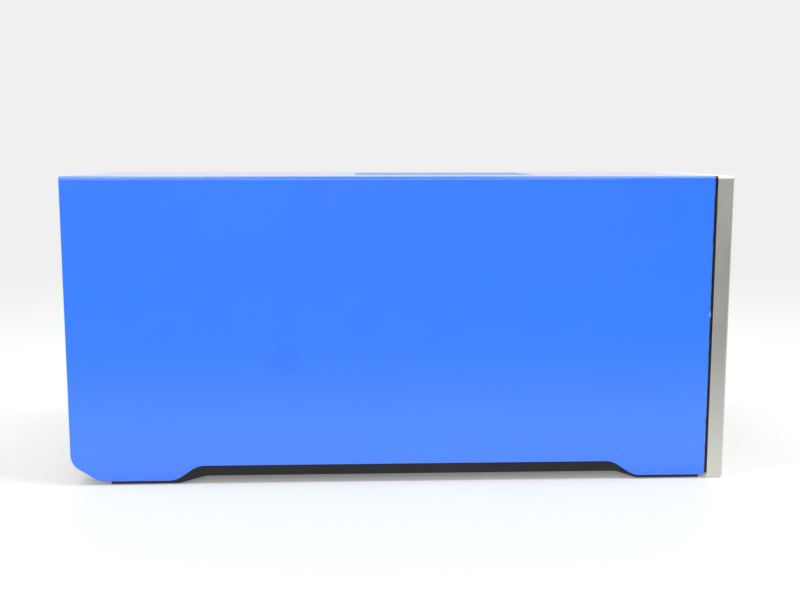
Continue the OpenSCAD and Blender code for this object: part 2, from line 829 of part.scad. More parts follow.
module at_board_holes() {
    for (x = [0, hole_dx], s = [-1, 1])
        translate([board_x + hole_set + x, s * hole_dy / 2, 0]) children();
}

module main_board() {
    color([0.02, 0.25, 0.14]) from_back() difference() {
        block([board_x, -board_l / 2, board_z], [board_end, board_l / 2, board_top]);
        at_board_holes() translate([0, 0, board_z - 1]) cylinder(r = hole_r, h = board_t + 2);
    }
}

module board_standoffs() {
    color([0.8, 0.65, 0.3]) from_back() at_board_holes() difference() {
        translate([0, 0, floor_z]) union() {
            translate([0, 0, sheet_t]) cylinder(r = 3.2, h = standoff_h, $fn = 6);
            cylinder(r = screw_r, h = sheet_t + eps);
        }
        translate([0, 0, board_z - 4]) cylinder(r = 1.25, h = 5);
    }
}

module board_screws() {
    color([0.75, 0.75, 0.77]) from_back() at_board_holes() {
        translate([0, 0, board_top]) cylinder(r = screw_head_r, h = screw_head_h);
        translate([0, 0, board_z - 3.5]) cylinder(r = 1.25, h = board_top - board_z + 3.5 + eps);
    }
}

module processor_socket() {
    side = 44;
    color([0.5, 0.5, 0.48]) from_back()
        block([cooler_x - side / 2, cooler_y - side / 2, board_top],
              [cooler_x + side / 2, cooler_y + side / 2, board_top + socket_h]);
}

module processor_heatsink() {
    low = board_top + socket_h;
    pitch = (cpu_fan_l - sink_fin_t) / (sink_fins - 1);
    color([0.75, 0.76, 0.78]) from_back() translate([cooler_x, cooler_y, low]) {
        translate([-cpu_fan_l / 2, -cpu_fan_l / 2, 0]) cube([cpu_fan_l, cpu_fan_l, sink_base]);
        for (i = [0:sink_fins - 1])
            translate([-cpu_fan_l / 2, -cpu_fan_l / 2 + i * pitch, sink_base - eps])
                cube([cpu_fan_l, sink_fin_t, sink_fin_h + eps]);
    }
}

module at_cpu_fan() {
    from_back() translate([cooler_x, cooler_y, cpu_fan_z]) children();
}

module processor_fan_frame() {
    color([0.08, 0.08, 0.08]) at_cpu_fan() fan_frame(cpu_fan_l, cpu_fan_d, cpu_fan_l / 2 - 2);
}

module processor_fan_rotor() {
    color([0.1, 0.1, 0.1]) at_cpu_fan() fan_rotor(cpu_fan_l, cpu_fan_d, cpu_fan_l / 2 - 2);
}

module memory_sockets() {
    color([0.05, 0.05, 0.06]) from_back() for (n = [0, 1]) {
        x = dimm_x + n * dimm_pitch;
        difference() {
            block([x - dimm_socket_w / 2, -dimm_l / 2 - 4, board_top],
                  [x + dimm_socket_w / 2, dimm_l / 2 + 4, board_top + dimm_socket_h]);
            block([x - dimm_t / 2 - 0.05, -dimm_l / 2 - 0.1, board_top + 2],
                  [x + dimm_t / 2 + 0.05, dimm_l / 2 + 0.1, board_top + dimm_socket_h + 1]);
        }
    }
}

module memory_modules() {
    chips = 8;
    chip_pitch = dimm_l / chips;
    color([0.03, 0.3, 0.18]) from_back() for (n = [0, 1]) {
        x = dimm_x + n * dimm_pitch;
        block([x - 0.7, -dimm_l / 2, board_top + 2], [x + 0.7, dimm_l / 2, board_top + 2 + dimm_h]);
        for (i = [0:chips - 1])
            block([x - dimm_t / 2, -dimm_l / 2 + (i + 0.15) * chip_pitch, board_top + dimm_socket_h + 3],
                  [x + dimm_t / 2, -dimm_l / 2 + (i + 0.75) * chip_pitch, board_top + dimm_socket_h + 16]);
    }
}

module chipset_heatsink() {
    side = 30;
    fins = 8;
    color([0.2, 0.2, 0.22]) from_back() translate([chipset_x - side / 2, chipset_y - side / 2, board_top]) {
        cube([side, side, 3]);
        for (i = [0:fins - 1])
            translate([0, i * (side - 1.5) / (fins - 1), 3 - eps]) cube([side, 1.5, 9]);
    }
}

// Two upright sockets, each [x, y, length, width], with a row of open cells.
module board_power_sockets() {
    places = [[main_socket_x - 12, main_cable_y - 5, 24, 10], [board_x + 12, main_cable_y - 2, 10, 9]];
    cell = 3.8;
    color([0.85, 0.84, 0.78]) from_back() for (at = places) difference() {
        block([at[0], at[1], board_top], [at[0] + at[2], at[1] + at[3], board_top + 11]);
        for (n = [0:floor(at[2] / 4) - 1])
            translate([at[0] + 0.8 + n * cell, at[1] + 1.5, board_top + 3]) cube([2.6, at[3] - 3, 12]);
    }
}

module pin_header() {
    columns = 20;
    pitch = 2.54;
    x = board_x + 34;
    y = -board_l / 2 + 4;
    color([0.05, 0.05, 0.05]) from_back() {
        block([x, y, board_top], [x + columns * pitch, y + 2 * pitch, board_top + 2.5]);
        for (i = [0:columns - 1], j = [0, 1])
            translate([x + (i + 0.5) * pitch - 0.32, y + (j + 0.5) * pitch - 0.32, board_top + 2.5 - eps])
                cube([0.64, 0.64, 6]);
    }
}

module board_capacitors() {
    beside_ports = [for (y = [-24, -14, 15]) [board_x + 8, display_y + y]];
    beside_socket = [for (x = [-6, 6]) [main_socket_x + x, main_cable_y + 14]];
    beside_memory = [for (y = [-14, 12]) [dimm_x - 14, y]];
    spots = concat(beside_ports, beside_socket, beside_memory, [[chipset_x - 16, chipset_y + 22]]);
    color([0.25, 0.25, 0.28]) from_back()
        for (p = spots) translate([p[0], p[1], board_top]) cylinder(r = 4, h = 11);
}

module board_chokes() {
    color([0.3, 0.3, 0.31]) from_back() for (i = [0:4])
        block([board_x + 24 + i * 13, choke_y - 5, board_top],
              [board_x + 34 + i * 13, choke_y + 5, board_top + 7]);
}

module coin_cell() {
    color([0.78, 0.78, 0.78]) from_back() translate([chipset_x - 31, chipset_y + 10, board_top]) {
        difference() {
            cylinder(r = 12, h = 3);
            translate([0, 0, 1]) cylinder(r = 10, h = 5);
        }
        translate([0, 0, 1 - eps]) cylinder(r = 10, h = 3.2);
    }
}

// ---- Ports at the back ----

// A socket shell that opens towards the back.
module back_socket(y, z, w, h, l) {
    translate([port_x + l, 0, 0]) mirror([1, 0, 0]) usb_socket(0, y, z, w, h, l);
}

// Two sockets one above the other, with a plate between them that joins them.
module usb_port_stacks() {
    length = 18;
    color([0.75, 0.75, 0.77]) from_back() for (y = usb_stack_ys) {
        for (n = [0, 1]) back_socket(y, port_base + n * (usb_h + stack_gap), usb_w, usb_h, length);
        block([port_x, y - usb_w / 2, port_base + usb_h - eps],
              [port_x + length, y + usb_w / 2, port_base + usb_h + stack_gap + eps]);
    }
}

module network_port() {
    length = 21;
    color([0.72, 0.72, 0.74]) from_back() difference() {
        block([port_x, network_y - network_w / 2, port_base],
              [port_x + length, network_y + network_w / 2, port_base + network_h]);
        block([port_x - 1, network_y - 6, port_base + 2.4], [port_x + 14, network_y + 6, port_base + 9.8]);
        block([port_x - 1, network_y - 3, port_base + 9], [port_x + 9, network_y + 3, port_base + 11.8]);
    }
}

module display_port() {
    half = display_w / 2;
    color([0.72, 0.72, 0.74]) from_back() {
        difference() {
            block([port_x, display_y - half, port_base],
                  [port_x + 12, display_y + half, port_base + display_h]);
            block([port_x - 1, display_y - half + 0.8, port_base + 0.8],
                  [port_x + 9, display_y + half - 0.8, port_base + display_h - 0.8]);
        }
        block([port_x + 1.5, display_y - half + 2.4, port_base + 2.6],
              [port_x + 9.5, display_y + half - 2.4, port_base + 3.8]);
    }
}

module audio_jacks() {
    color([0.1, 0.1, 0.11]) from_back() difference() {
        union() {
            block([port_x + port_front + shield_t, audio_y - 6, port_base],
                  [port_x + 14, audio_y + 6, port_base + 3 * audio_pitch]);
            for (n = [0:2]) rod_x([port_x, audio_y, port_base + (n + 0.5) * audio_pitch], 4, 6);
        }
        for (n = [0:2]) rod_x([port_x - 1, audio_y, port_base + (n + 0.5) * audio_pitch], 1.8, 13);
    }
}

// A hole in the shield round one port.
module shield_window(y, w, h) {
    gap = 0.3;
    block([0, y - w / 2 - gap, port_base - gap], [panel_x + 3, y + w / 2 + gap, port_base + h + gap]);
}

module io_shield() {
    color([0.78, 0.78, 0.8]) from_back() difference() {
        block([panel_x, -window_w / 2, window_z], [panel_x + shield_t, window_w / 2, window_z + window_h]);
        for (y = usb_stack_ys) shield_window(y, usb_w, 2 * usb_h + stack_gap);
        shield_window(network_y, network_w, network_h);
        shield_window(display_y, display_w, display_h);
        for (n = [0:2]) rod_x([0, audio_y, port_base + (n + 0.5) * audio_pitch], 4.3, panel_x + 3);
    }
}

// ---- Power supply ----

// A block in the power supply's back, w by h round a place in YZ.
module back_block(x, l, y, z, w, h) {
    block([x, y - w / 2, z - h / 2], [x + l, y + w / 2, z + h / 2]);
}

module psu_case() {
    slot_ys = [for (y = [31 - psu_w / 2:8:psu_w / 2 - 15]) if (abs(y - drive_cable_y) > 12) y];
    color([0.55, 0.55, 0.57]) from_back() difference() {
        block([inside_x, -psu_w / 2, psu_z], [inside_x + psu_d, psu_w / 2, psu_top]);
        block([inside_x + psu_t, -psu_w / 2 + psu_t, psu_z + psu_t],
              [inside_x + psu_d - psu_t, psu_w / 2 - psu_t, psu_top - psu_t]);
        rod_x([inside_x - 1, psu_fan_y, psu_mid], psu_fan_l / 2 - 3, psu_t + 2);
        back_block(inside_x - 1, psu_t + 2, inlet_y, inlet_z, inlet_w, inlet_h);
        back_block(inside_x - 1, psu_t + 2, inlet_y, rocker_z, rocker_w, rocker_h);
        for (sy = [-1, 1], sz = [-1, 1])
            rod_x([inside_x - 1, sy * psu_screw_y, psu_mid + sz * psu_screw_z], screw_r, psu_t + 2);
        for (y = slot_ys) along_x(inside_x + psu_d - psu_t - 1, psu_t + 2)
            translate([y, psu_mid]) rotate(90) pill(psu_h - 26, 4);
        for (y = [main_cable_y, drive_cable_y])
            rod_x([inside_x + psu_d - psu_t - 1, y, cable_z], 8, psu_t + 2);
    }
}

// The supply's circuit board on its pillars, with a transformer, two heatsinks and two capacitors.
module psu_board() {
    low = psu_z + psu_t;
    top = low + 6.6;
    edge = psu_w / 2 - 10;
    color([0.4, 0.3, 0.12]) from_back() {
        for (x = [inside_x + 44, inside_x + psu_d - 12], y = [-edge, edge])
            translate([x, y, low]) cylinder(r = 3, h = 5);
        block([inside_x + 36, -edge - 5, top - 1.6 - eps], [inside_x + psu_d - 6, edge + 5, top]);
        block([inside_x + 70, -24, top - eps], [inside_x + psu_d - 36, 12, top + 31]);
        for (y = [23 - edge, edge - 35])
            block([inside_x + 46, y, top - eps], [inside_x + psu_d - 14, y + 3, top + 49]);
        for (y = [3 - edge, edge - 15]) translate([inside_x + 60, y, top - eps]) cylinder(r = 10, h = 34);
    }
}

module at_psu_fan() {
    from_back() translate([inside_x + psu_t, psu_fan_y, psu_mid]) rotate([0, 90, 0]) children();
}

module psu_fan_frame() {
    color([0.05, 0.05, 0.05]) at_psu_fan() fan_frame(psu_fan_l, psu_fan_d, psu_fan_l / 2 - 2.5);
}

module psu_fan_rotor() {
    color([0.1, 0.1, 0.1]) at_psu_fan() fan_rotor(psu_fan_l, psu_fan_d, psu_fan_l / 2 - 2.5);
}

// Rings on a cross of two bars over the fan's opening, on the power supply's back.
module psu_fan_grille() {
    wire = psu_grille_t / 2;
    color([0.75, 0.75, 0.77]) from_back() translate([inside_x, psu_fan_y, psu_mid]) rotate([0, -90, 0]) {
        for (r = [8:7:36]) translate([0, 0, wire - eps]) difference() {
            cylinder(r = r + wire, h = wire);
            translate([0, 0, -1]) cylinder(r = r - wire, h = wire + 2);
        }
        for (a = [45, 135]) rotate([0, 0, a]) translate([-42, -wire, 0]) cube([84, 2 * wire, wire]);
    }
}

// A socket body for the power supply's back: a flange outside and a well behind it.
module socket_body(z, w, h, wall, depth, well) {
    difference() {
        union() {
            back_block(inside_x - socket_flange, socket_flange, inlet_y, z, w + 4, h + 4);
            back_block(inside_x - eps, depth, inlet_y, z, w - 0.4, h - 0.4);
        }
        back_block(inside_x - socket_flange - 1, well + socket_flange + 1, inlet_y, z,
                   w - 2 * wall, h - 2 * wall);
    }
}

module mains_inlet() {
    color([0.05, 0.05, 0.055]) from_back()
        socket_body(inlet_z, inlet_w, inlet_h, 1.5, inlet_depth, inlet_depth - 3);
}

module inlet_pins() {
    length = inlet_depth - 7;
    color([0.8, 0.75, 0.5]) from_back() for (p = [[-7, -2], [0, 2.5], [7, -2]])
        back_block(inside_x + 4, length, inlet_y + p[0], inlet_z + p[1], 2, 4);
}

module rocker_housing() {
    color([0.05, 0.05, 0.055]) from_back() difference() {
        socket_body(rocker_z, rocker_w, rocker_h, 1.2, 12, 10);
        translate([rocker_pivot_x, inlet_y, rocker_z - rocker_h / 2 + 0.6])
            cylinder(r = rocker_r + 0.05, h = rocker_h - 1.2);
    }
}

// The rocker's section in XY: a shallow V on a round core, tilted to its rest side.
module mains_rocker() {
    reach = rocker_w / 2 - 1.9;
    color([0.12, 0.12, 0.12]) from_back()
        translate([rocker_pivot_x, inlet_y, rocker_z]) rotate([0, 0, rocker_tilt]) {
            translate([0, 0, -rocker_h / 2 + 1.5]) linear_extrude(rocker_h - 3) union() {
                polygon([[-0.9, 0], [-1.7, reach], [1.4, reach], [2.4, 0], [1.4, -reach], [-1.7, -reach]]);
                circle(2.2);
            }
            translate([0, 0, -rocker_h / 2 + 0.8]) cylinder(r = rocker_r, h = rocker_h - 1.6);
        }
}

module psu_screws() {
    color([0.75, 0.75, 0.77]) from_back() for (sy = [-1, 1], sz = [-1, 1])
        screw_back(panel_x, sy * psu_screw_y, psu_mid + sz * psu_screw_z, sheet_t + 3);
}

// ---- Cables ----

module main_power_cable() {
    color([0.1, 0.1, 0.1]) from_back() flat_cable([main_cable_route], main_cable_y - 6, 12, 3.6);
}

module drive_cable() {
    color([0.12, 0.12, 0.12]) from_back() flat_cable(drive_cable_routes, drive_cable_y - 6, 12, 1.8);
}

module front_panel_cable() {
    color([0.3, 0.3, 0.32]) from_back() flat_cable([front_cable_route], 44, 12, 1.6);
}

cover();
cover_screws();
base_tray();
foot_rail_left();
foot_rail_right();
foot_pads();
top_rails();
rear_panel();
front_frame();
bezel();
bezel_screws();
control_panel();
power_button();
reset_button();
status_lights();
front_usb_ports();
front_io_board();
front_switches();
dust_filter();
front_fan_frame();
front_fan_rotor();
front_fan_screws();
drive_cage();
upper_drive();
lower_drive();
drive_screws();
main_board();
board_standoffs();
board_screws();
processor_socket();
processor_heatsink();
processor_fan_frame();
processor_fan_rotor();
memory_sockets();
memory_modules();
chipset_heatsink();
board_power_sockets();
pin_header();
board_capacitors();
board_chokes();
coin_cell();
usb_port_stacks();
network_port();
display_port();
audio_jacks();
io_shield();
psu_case();
psu_board();
psu_fan_frame();
psu_fan_rotor();
psu_fan_grille();
mains_inlet();
inlet_pins();
rocker_housing();
mains_rocker();
psu_screws();
main_power_cable();
drive_cable();
front_panel_cable();
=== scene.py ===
import json
import math
import random

import bmesh
import bpy
from mathutils import Matrix, Vector
from mathutils.bvhtree import BVHTree


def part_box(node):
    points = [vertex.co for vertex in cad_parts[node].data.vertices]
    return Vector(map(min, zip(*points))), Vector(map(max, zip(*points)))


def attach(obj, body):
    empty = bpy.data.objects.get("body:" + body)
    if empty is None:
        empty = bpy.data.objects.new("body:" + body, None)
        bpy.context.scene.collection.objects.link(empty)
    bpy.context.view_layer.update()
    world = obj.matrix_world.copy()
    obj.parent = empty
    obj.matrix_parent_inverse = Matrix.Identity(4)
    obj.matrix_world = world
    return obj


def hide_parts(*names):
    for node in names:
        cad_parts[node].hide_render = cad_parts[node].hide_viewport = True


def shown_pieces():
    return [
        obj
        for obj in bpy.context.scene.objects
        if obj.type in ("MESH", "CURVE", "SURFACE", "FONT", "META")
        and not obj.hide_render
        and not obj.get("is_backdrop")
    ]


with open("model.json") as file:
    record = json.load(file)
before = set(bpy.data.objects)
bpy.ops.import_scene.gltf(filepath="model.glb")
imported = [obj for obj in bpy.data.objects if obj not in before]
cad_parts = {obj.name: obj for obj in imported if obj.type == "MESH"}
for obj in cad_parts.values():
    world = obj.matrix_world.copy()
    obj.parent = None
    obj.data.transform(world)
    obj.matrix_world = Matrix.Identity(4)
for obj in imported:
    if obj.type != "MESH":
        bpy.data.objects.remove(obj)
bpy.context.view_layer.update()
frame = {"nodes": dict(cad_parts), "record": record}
NODES = frame["nodes"]

# ---- Image points, in the photograph's frame of 800 by 600 ----

FRAME_W = 800
FRAME_H = 600
IMAGE_EDGES = {"left": 57.6, "right": 733.8, "top": 172.0, "bottom": 484.4}
IMAGE_POINTS = {
    "panel_back_top": (57.6, 176.0),
    "panel_front_top": (715.3, 175.8),
    "panel_front_bottom": (703.0, 473.9),
    "panel_back_bottom": (71.0, 481.5),
    "arch_back_end": (205.0, 465.4),
    "arch_front_end": (605.2, 461.0),
    "bezel_back_bottom": (705.8, 476.6),
    "slots_back": (353.0, 174.2),
    "slots_front": (526.0, 174.0),
    "paint_chip": (709.6, 314.4),
    "smudge": (285.0, 362.0),
}

# ---- Camera ----

LENS = 47.17
SENSOR = 36.0
CAMERA_PLACE = (-0.02925, -0.8109, 0.2298)
CAMERA_PITCH = 7.828
CAMERA_YAW = 2.309
FOCAL = max(FRAME_W, FRAME_H) * LENS / SENSOR


def make_camera():
    """The camera that was fitted to the photograph."""
    data = bpy.data.cameras.new("photo_camera")
    data.lens = LENS
    data.sensor_width = SENSOR
    data.sensor_fit = "AUTO"
    data.clip_start = 0.01
    data.clip_end = 50
    camera = bpy.data.objects.new("photo_camera", data)
    camera.location = CAMERA_PLACE
    camera.rotation_euler = (math.radians(90 - CAMERA_PITCH), 0, math.radians(-CAMERA_YAW))
    bpy.context.scene.collection.objects.link(camera)
    bpy.context.scene.camera = camera
    bpy.context.view_layer.update()
    return camera


CAMERA = make_camera()


def image_place(point):
    """Where a place in the row frame shows, in pixels of the photograph's frame."""
    local = CAMERA.matrix_world.inverted() @ Vector(point)
    return FRAME_W / 2 + FOCAL * local.x / -local.z, FRAME_H / 2 - FOCAL * local.y / -local.z


def image_ray(x, y):
    """The start and direction, in the row frame, of the ray through a pixel."""
    aim = Vector((x - FRAME_W / 2, FRAME_H / 2 - y, -FOCAL))
    turn = CAMERA.matrix_world.to_3x3()
    return CAMERA.matrix_world.translation.copy(), (turn @ aim).normalized()


def search_tree(o):
    """A search tree over the finished faces of an object, in the row frame."""
    done = o.evaluated_get(bpy.context.evaluated_depsgraph_get())
    mesh = done.to_mesh()
    verts = [o.matrix_world @ v.co for v in mesh.vertices]
    faces = [list(f.vertices) for f in mesh.polygons]
    done.to_mesh_clear()
    return BVHTree.FromPolygons(verts, faces)


# The stretch of a ray, in metres from the camera, on which a miss looks for the nearest place.
SEARCH_START = 0.5
SEARCH_STEP = 0.005
SEARCH_STEPS = 200


def place_on(tree, x, y):
    """Where the ray through a pixel meets a surface. A ray that misses takes the place nearest to it."""
    start, aim = image_ray(x, y)
    place = tree.ray_cast(start, aim)[0]
    if place is None:
        along = [start + aim * (SEARCH_START + k * SEARCH_STEP) for k in range(SEARCH_STEPS)]
        place = min((tree.find_nearest(p) for p in along), key=lambda found: found[3])[0]
    return place


# ---- Material parts ----

BEVEL_SAMPLES = 4


class Paint:
    """A material with a Principled shader and short calls for the nodes that feed it."""

    def __init__(self, name, color, roughness, metallic=0.0, specular=0.5, coat=0.0):
        self.material = bpy.data.materials.new(name)
        self.material.use_nodes = True
        self.tree = self.material.node_tree
        self.shader = self.tree.nodes["Principled BSDF"]
        self.set("Base Color", (*color, 1))
        self.set("Roughness", roughness)
        self.set("Metallic", metallic)
        self.set("Specular IOR Level", specular)
        self.set("Coat Weight", coat)
        self.set("Coat Roughness", 0.1)
        self.color = color
        self.place = self.node("ShaderNodeTexCoord").outputs["Object"]

    def set(self, socket, value):
        """A fixed value for one of the shader's sockets."""
        self.shader.inputs[socket].default_value = value

    def node(self, kind, **inputs):
        """A new node; each input is a value or the socket that feeds it."""
        made = self.tree.nodes.new(kind)
        for name, value in inputs.items():
            self.feed(made.inputs[name.replace("_", " ")], value)
        return made

    def feed(self, socket, value):
        if isinstance(value, bpy.types.NodeSocket):
            self.tree.links.new(value, socket)
        else:
            socket.default_value = value

    def stretch(self, scale):
        """The place, scaled along each axis."""
        return self.node("ShaderNodeMapping", Vector=self.place, Scale=scale).outputs["Vector"]

    def noise(self, scale, detail=3.0, vector=None, roughness=0.5):
        made = self.node("ShaderNodeTexNoise", Scale=scale, Detail=detail, Roughness=roughness)
        self.feed(made.inputs["Vector"], vector or self.place)
        return made.outputs["Fac"]

    def cells(self, scale):
        return self.node("ShaderNodeTexVoronoi", Scale=scale, Vector=self.place).outputs["Distance"]

    def maths(self, operation, a, b=0.0):
        made = self.node("ShaderNodeMath")
        made.operation = operation
        self.feed(made.inputs[0], a)
        self.feed(made.inputs[1], b)
        return made.outputs[0]

    def span(self, value, low, high, to_low=0.0, to_high=1.0):
        """The value's stretch from low to high, spread over to_low to to_high and held there outside it."""
        made = self.node("ShaderNodeMapRange", Value=value)
        made.inputs["From Min"].default_value = low
        made.inputs["From Max"].default_value = high
        made.inputs["To Min"].default_value = to_low
        made.inputs["To Max"].default_value = to_high
        return made.outputs["Result"]

    def mix(self, fac, a, b):
        """A colour between a, where fac is 0, and b, where it is 1."""
        made = self.node("ShaderNodeMix")
        made.data_type = "RGBA"
        sockets = [s for s in made.inputs if s.type == "RGBA"]
        self.feed(made.inputs["Factor"], fac)
        self.feed(sockets[0], a if isinstance(a, bpy.types.NodeSocket) else (*a, 1))
        self.feed(sockets[1], b if isinstance(b, bpy.types.NodeSocket) else (*b, 1))
        return [s for s in made.outputs if s.type == "RGBA"][0]

    def axes(self):
        made = self.node("ShaderNodeSeparateXYZ", Vector=self.place)
        return made.outputs["X"], made.outputs["Y"], made.outputs["Z"]

    def colour_from(self, socket):
        self.feed(self.shader.inputs["Base Color"], socket)

    def rough_from(self, value, low, high, at_low, at_high):
        self.feed(self.shader.inputs["Roughness"], self.span(value, low, high, at_low, at_high))

    def rounded_normal(self, radius):
        """The surface's direction, as if its sharp edges were rounded by the radius."""
        made = self.node("ShaderNodeBevel", Radius=radius)
        made.samples = BEVEL_SAMPLES
        return made.outputs["Normal"]

    def edge_wear_and_highlight(self, radius, most):
        """From 0 on flat faces up to most along sharp edges, broken up as rubbed edges are. Where it is used,
        the lighter edge colour is partly rubbed wear and partly painted highlight.
        """
        turn = self.node("ShaderNodeVectorMath")
        turn.operation = "DOT_PRODUCT"
        self.feed(turn.inputs[0], self.rounded_normal(radius))
        self.feed(turn.inputs[1], self.node("ShaderNodeNewGeometry").outputs["Normal"])
        bend = self.span(self.maths("SUBTRACT", 1.0, turn.outputs["Value"]), 0.02, 0.15, 0.0, most)
        return self.maths("MULTIPLY", bend, self.span(self.noise(190.0, 4.0), 0.3, 0.6))

    def relief(self, height, depth, bevel=0.0):
        """Bump of the given depth in metres; bevel rounds the shading of sharp edges by that radius."""
        made = self.node("ShaderNodeBump", Height=height, Distance=depth, Strength=1.0)
        if bevel:
            self.feed(made.inputs["Normal"], self.rounded_normal(bevel))
        self.feed(self.shader.inputs["Normal"], made.outputs["Normal"])


def tint(color, k):
    """The colour made lighter or darker by a factor."""
    return tuple(min(1.0, c * k) for c in color)


# ---- Materials ----

# Places and sizes in metres; the smudge's strength is a share.
COVER_LOW, COVER_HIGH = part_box("cover")
COVER_TREE = search_tree(NODES["cover"])
NEAR_SIDE_DEPTH = 0.004
SMUDGE_SIZE = 0.013
SMUDGE_STRENGTH = 0.16
EDGE_LINE = 0.0002
EDGE_WEAR_AND_SHADE = 0.004
CHIP_HALF = 0.0026
CHIP_WIDTH = 0.0011
PEEL_DEPTH = 0.000004


def thumb_smudge(p, x, z):
    """How strongly the smudge darkens the paint: most in its middle, and ragged where it ends."""
    place = place_on(COVER_TREE, *IMAGE_POINTS["smudge"])
    away_x = p.maths("POWER", p.maths("MULTIPLY", p.maths("SUBTRACT", x, place.x), 1 / SMUDGE_SIZE), 2.0)
    away_z = p.maths("POWER", p.maths("MULTIPLY", p.maths("SUBTRACT", z, place.z), 1 / SMUDGE_SIZE), 2.0)
    away = p.maths("ADD", p.maths("ADD", away_x, away_z), p.maths("MULTIPLY", p.noise(160.0), 0.6))
    return p.span(away, 0.3, 1.3, SMUDGE_STRENGTH, 0.0)


def front_edge_wear_and_shade(p, from_front):
    """1 in a thin ragged line along the cover's front edge: partly chipped paint, partly painted shade of the
    sheet's end in shadow.
    """
    bites = p.maths("MULTIPLY", p.maths("POWER", p.noise(170.0, 4.0), 5.0), EDGE_WEAR_AND_SHADE)
    return p.maths("LESS_THAN", from_front, p.maths("ADD", bites, EDGE_LINE))


def paint_chip(p, from_front, z):
    """1 in the pointed chip at the front edge."""
    place = place_on(COVER_TREE, *IMAGE_POINTS["paint_chip"])
    width = p.span(p.maths("ABSOLUTE", p.maths("SUBTRACT", z, place.z)), 0.0, CHIP_HALF, CHIP_WIDTH, 0.0)
    return p.maths("LESS_THAN", from_front, width)


def blue_paint():
    """Powder coat on folded sheet: orange peel, faint waves, a thumb smudge, and along the front edge wear
    with painted shade.
    """
    p = Paint("blue_paint", (0.006, 0.155, 0.94), 0.34, specular=0.55, coat=1.0)
    x, y, z = p.axes()
    near_side = p.maths("LESS_THAN", y, COVER_LOW.y + NEAR_SIDE_DEPTH)
    from_front = p.maths("SUBTRACT", COVER_HIGH.x, x)
    colour = p.mix(p.span(p.noise(7.0, 2.0), 0.35, 0.65), tint(p.color, 0.985), tint(p.color, 1.015))
    colour = p.mix(p.maths("MULTIPLY", thumb_smudge(p, x, z), near_side), colour, (0.004, 0.05, 0.35))
    # The front edge line is painted dark navy: painted shade of the sheet's end in shadow, mixed with ragged
    # chipped paint.
    colour = p.mix(front_edge_wear_and_shade(p, from_front), colour, (0.003, 0.008, 0.05))
    chip_mask = p.maths("MULTIPLY", paint_chip(p, from_front, z), near_side)
    p.colour_from(p.mix(chip_mask, colour, (0.28, 0.44, 0.85)))
    p.rough_from(p.noise(60.0, 4.0), 0.3, 0.7, 0.325, 0.365)
    peel = p.maths("ADD", p.noise(650.0, 2.0), p.maths("MULTIPLY", p.noise(2600.0, 1.0), 0.4))
    waves = p.maths("MULTIPLY", p.noise(9.0, 1.0), 4.0)
    p.relief(p.maths("ADD", peel, waves), PEEL_DEPTH, 0.0012)
    return p.material


def black_paint():
    """Fine-grained paint on the chassis, with a little dust, and edges made lighter partly as rubbed wear and
    partly as painted highlight.
    """
    p = Paint("black_paint", (0.017, 0.017, 0.019), 0.5, specular=0.18)
    grain = p.noise(1800.0, 2.0)
    dust = p.noise(35.0, 5.0, roughness=0.7)
    colour = p.mix(p.span(dust, 0.5, 0.8), p.color, (0.028, 0.028, 0.029))
    # Lighter grey along sharp edges: partly rubbed paint, partly painted edge highlight.
    p.colour_from(p.mix(p.edge_wear_and_highlight(0.0006, 0.7), colour, (0.05, 0.05, 0.052)))
    p.rough_from(dust, 0.3, 0.7, 0.42, 0.6)
    p.relief(grain, 0.00003, 0.0004)
    return p.material


def black_plastic():
    """Moulded plastic with a fine spark-eroded grain and a little dust."""
    p = Paint("black_plastic", (0.009, 0.009, 0.010), 0.55, specular=0.32)
    grain = p.cells(1500.0)
    dust = p.noise(60.0, 5.0, roughness=0.7)
    p.colour_from(p.mix(p.span(dust, 0.55, 0.8), p.color, (0.022, 0.022, 0.021)))
    p.rough_from(dust, 0.3, 0.7, 0.48, 0.66)
    p.relief(grain, 0.00004, 0.0004)
    return p.material


def gloss_black():
    """Polished black plastic with finger marks."""
    p = Paint("gloss_black", (0.008, 0.008, 0.009), 0.16, coat=0.4)
    prints = p.noise(45.0, 6.0, roughness=0.65)
    p.rough_from(prints, 0.4, 0.75, 0.10, 0.30)
    p.relief(p.noise(300.0, 2.0), 0.000006, 0.0003)
    return p.material


def rubber():
    """Dull rubber, scuffed grey in places."""
    p = Paint("rubber", (0.010, 0.010, 0.010), 0.85, specular=0.25)
    scuff = p.noise(240.0, 6.0, roughness=0.75)
    p.colour_from(p.mix(p.span(scuff, 0.5, 0.75), p.color, (0.07, 0.068, 0.065)))
    p.relief(p.noise(1400.0, 3.0), 0.00005, 0.0004)
    return p.material


def brushed(name, color, roughness, along):
    """Metal with fine parallel scratches and edges painted brighter, partly as rubbed wear and partly as
    painted highlight; along is the axis that the scratches run along.
    """
    p = Paint(name, color, roughness, metallic=1.0)
    scale = [28.0 if axis == along else 2600.0 for axis in "xyz"]
    lines = p.noise(1.0, 3.0, p.stretch(scale))
    blotch = p.noise(26.0, 4.0)
    colour = p.mix(p.span(lines, 0.3, 0.7), tint(color, 0.97), tint(color, 1.02))
    # Edges painted 1.45 times brighter: partly rubbed metal, partly painted edge highlight.
    p.colour_from(p.mix(p.edge_wear_and_highlight(0.0007, 1.0), colour, tint(color, 1.45)))
    p.rough_from(p.maths("ADD", p.maths("MULTIPLY", lines, 0.6), p.maths("MULTIPLY", blotch, 0.4)),
                 0.3, 0.7, roughness - 0.07, roughness + 0.08)
    p.relief(lines, 0.00001, 0.0004)
    return p.material


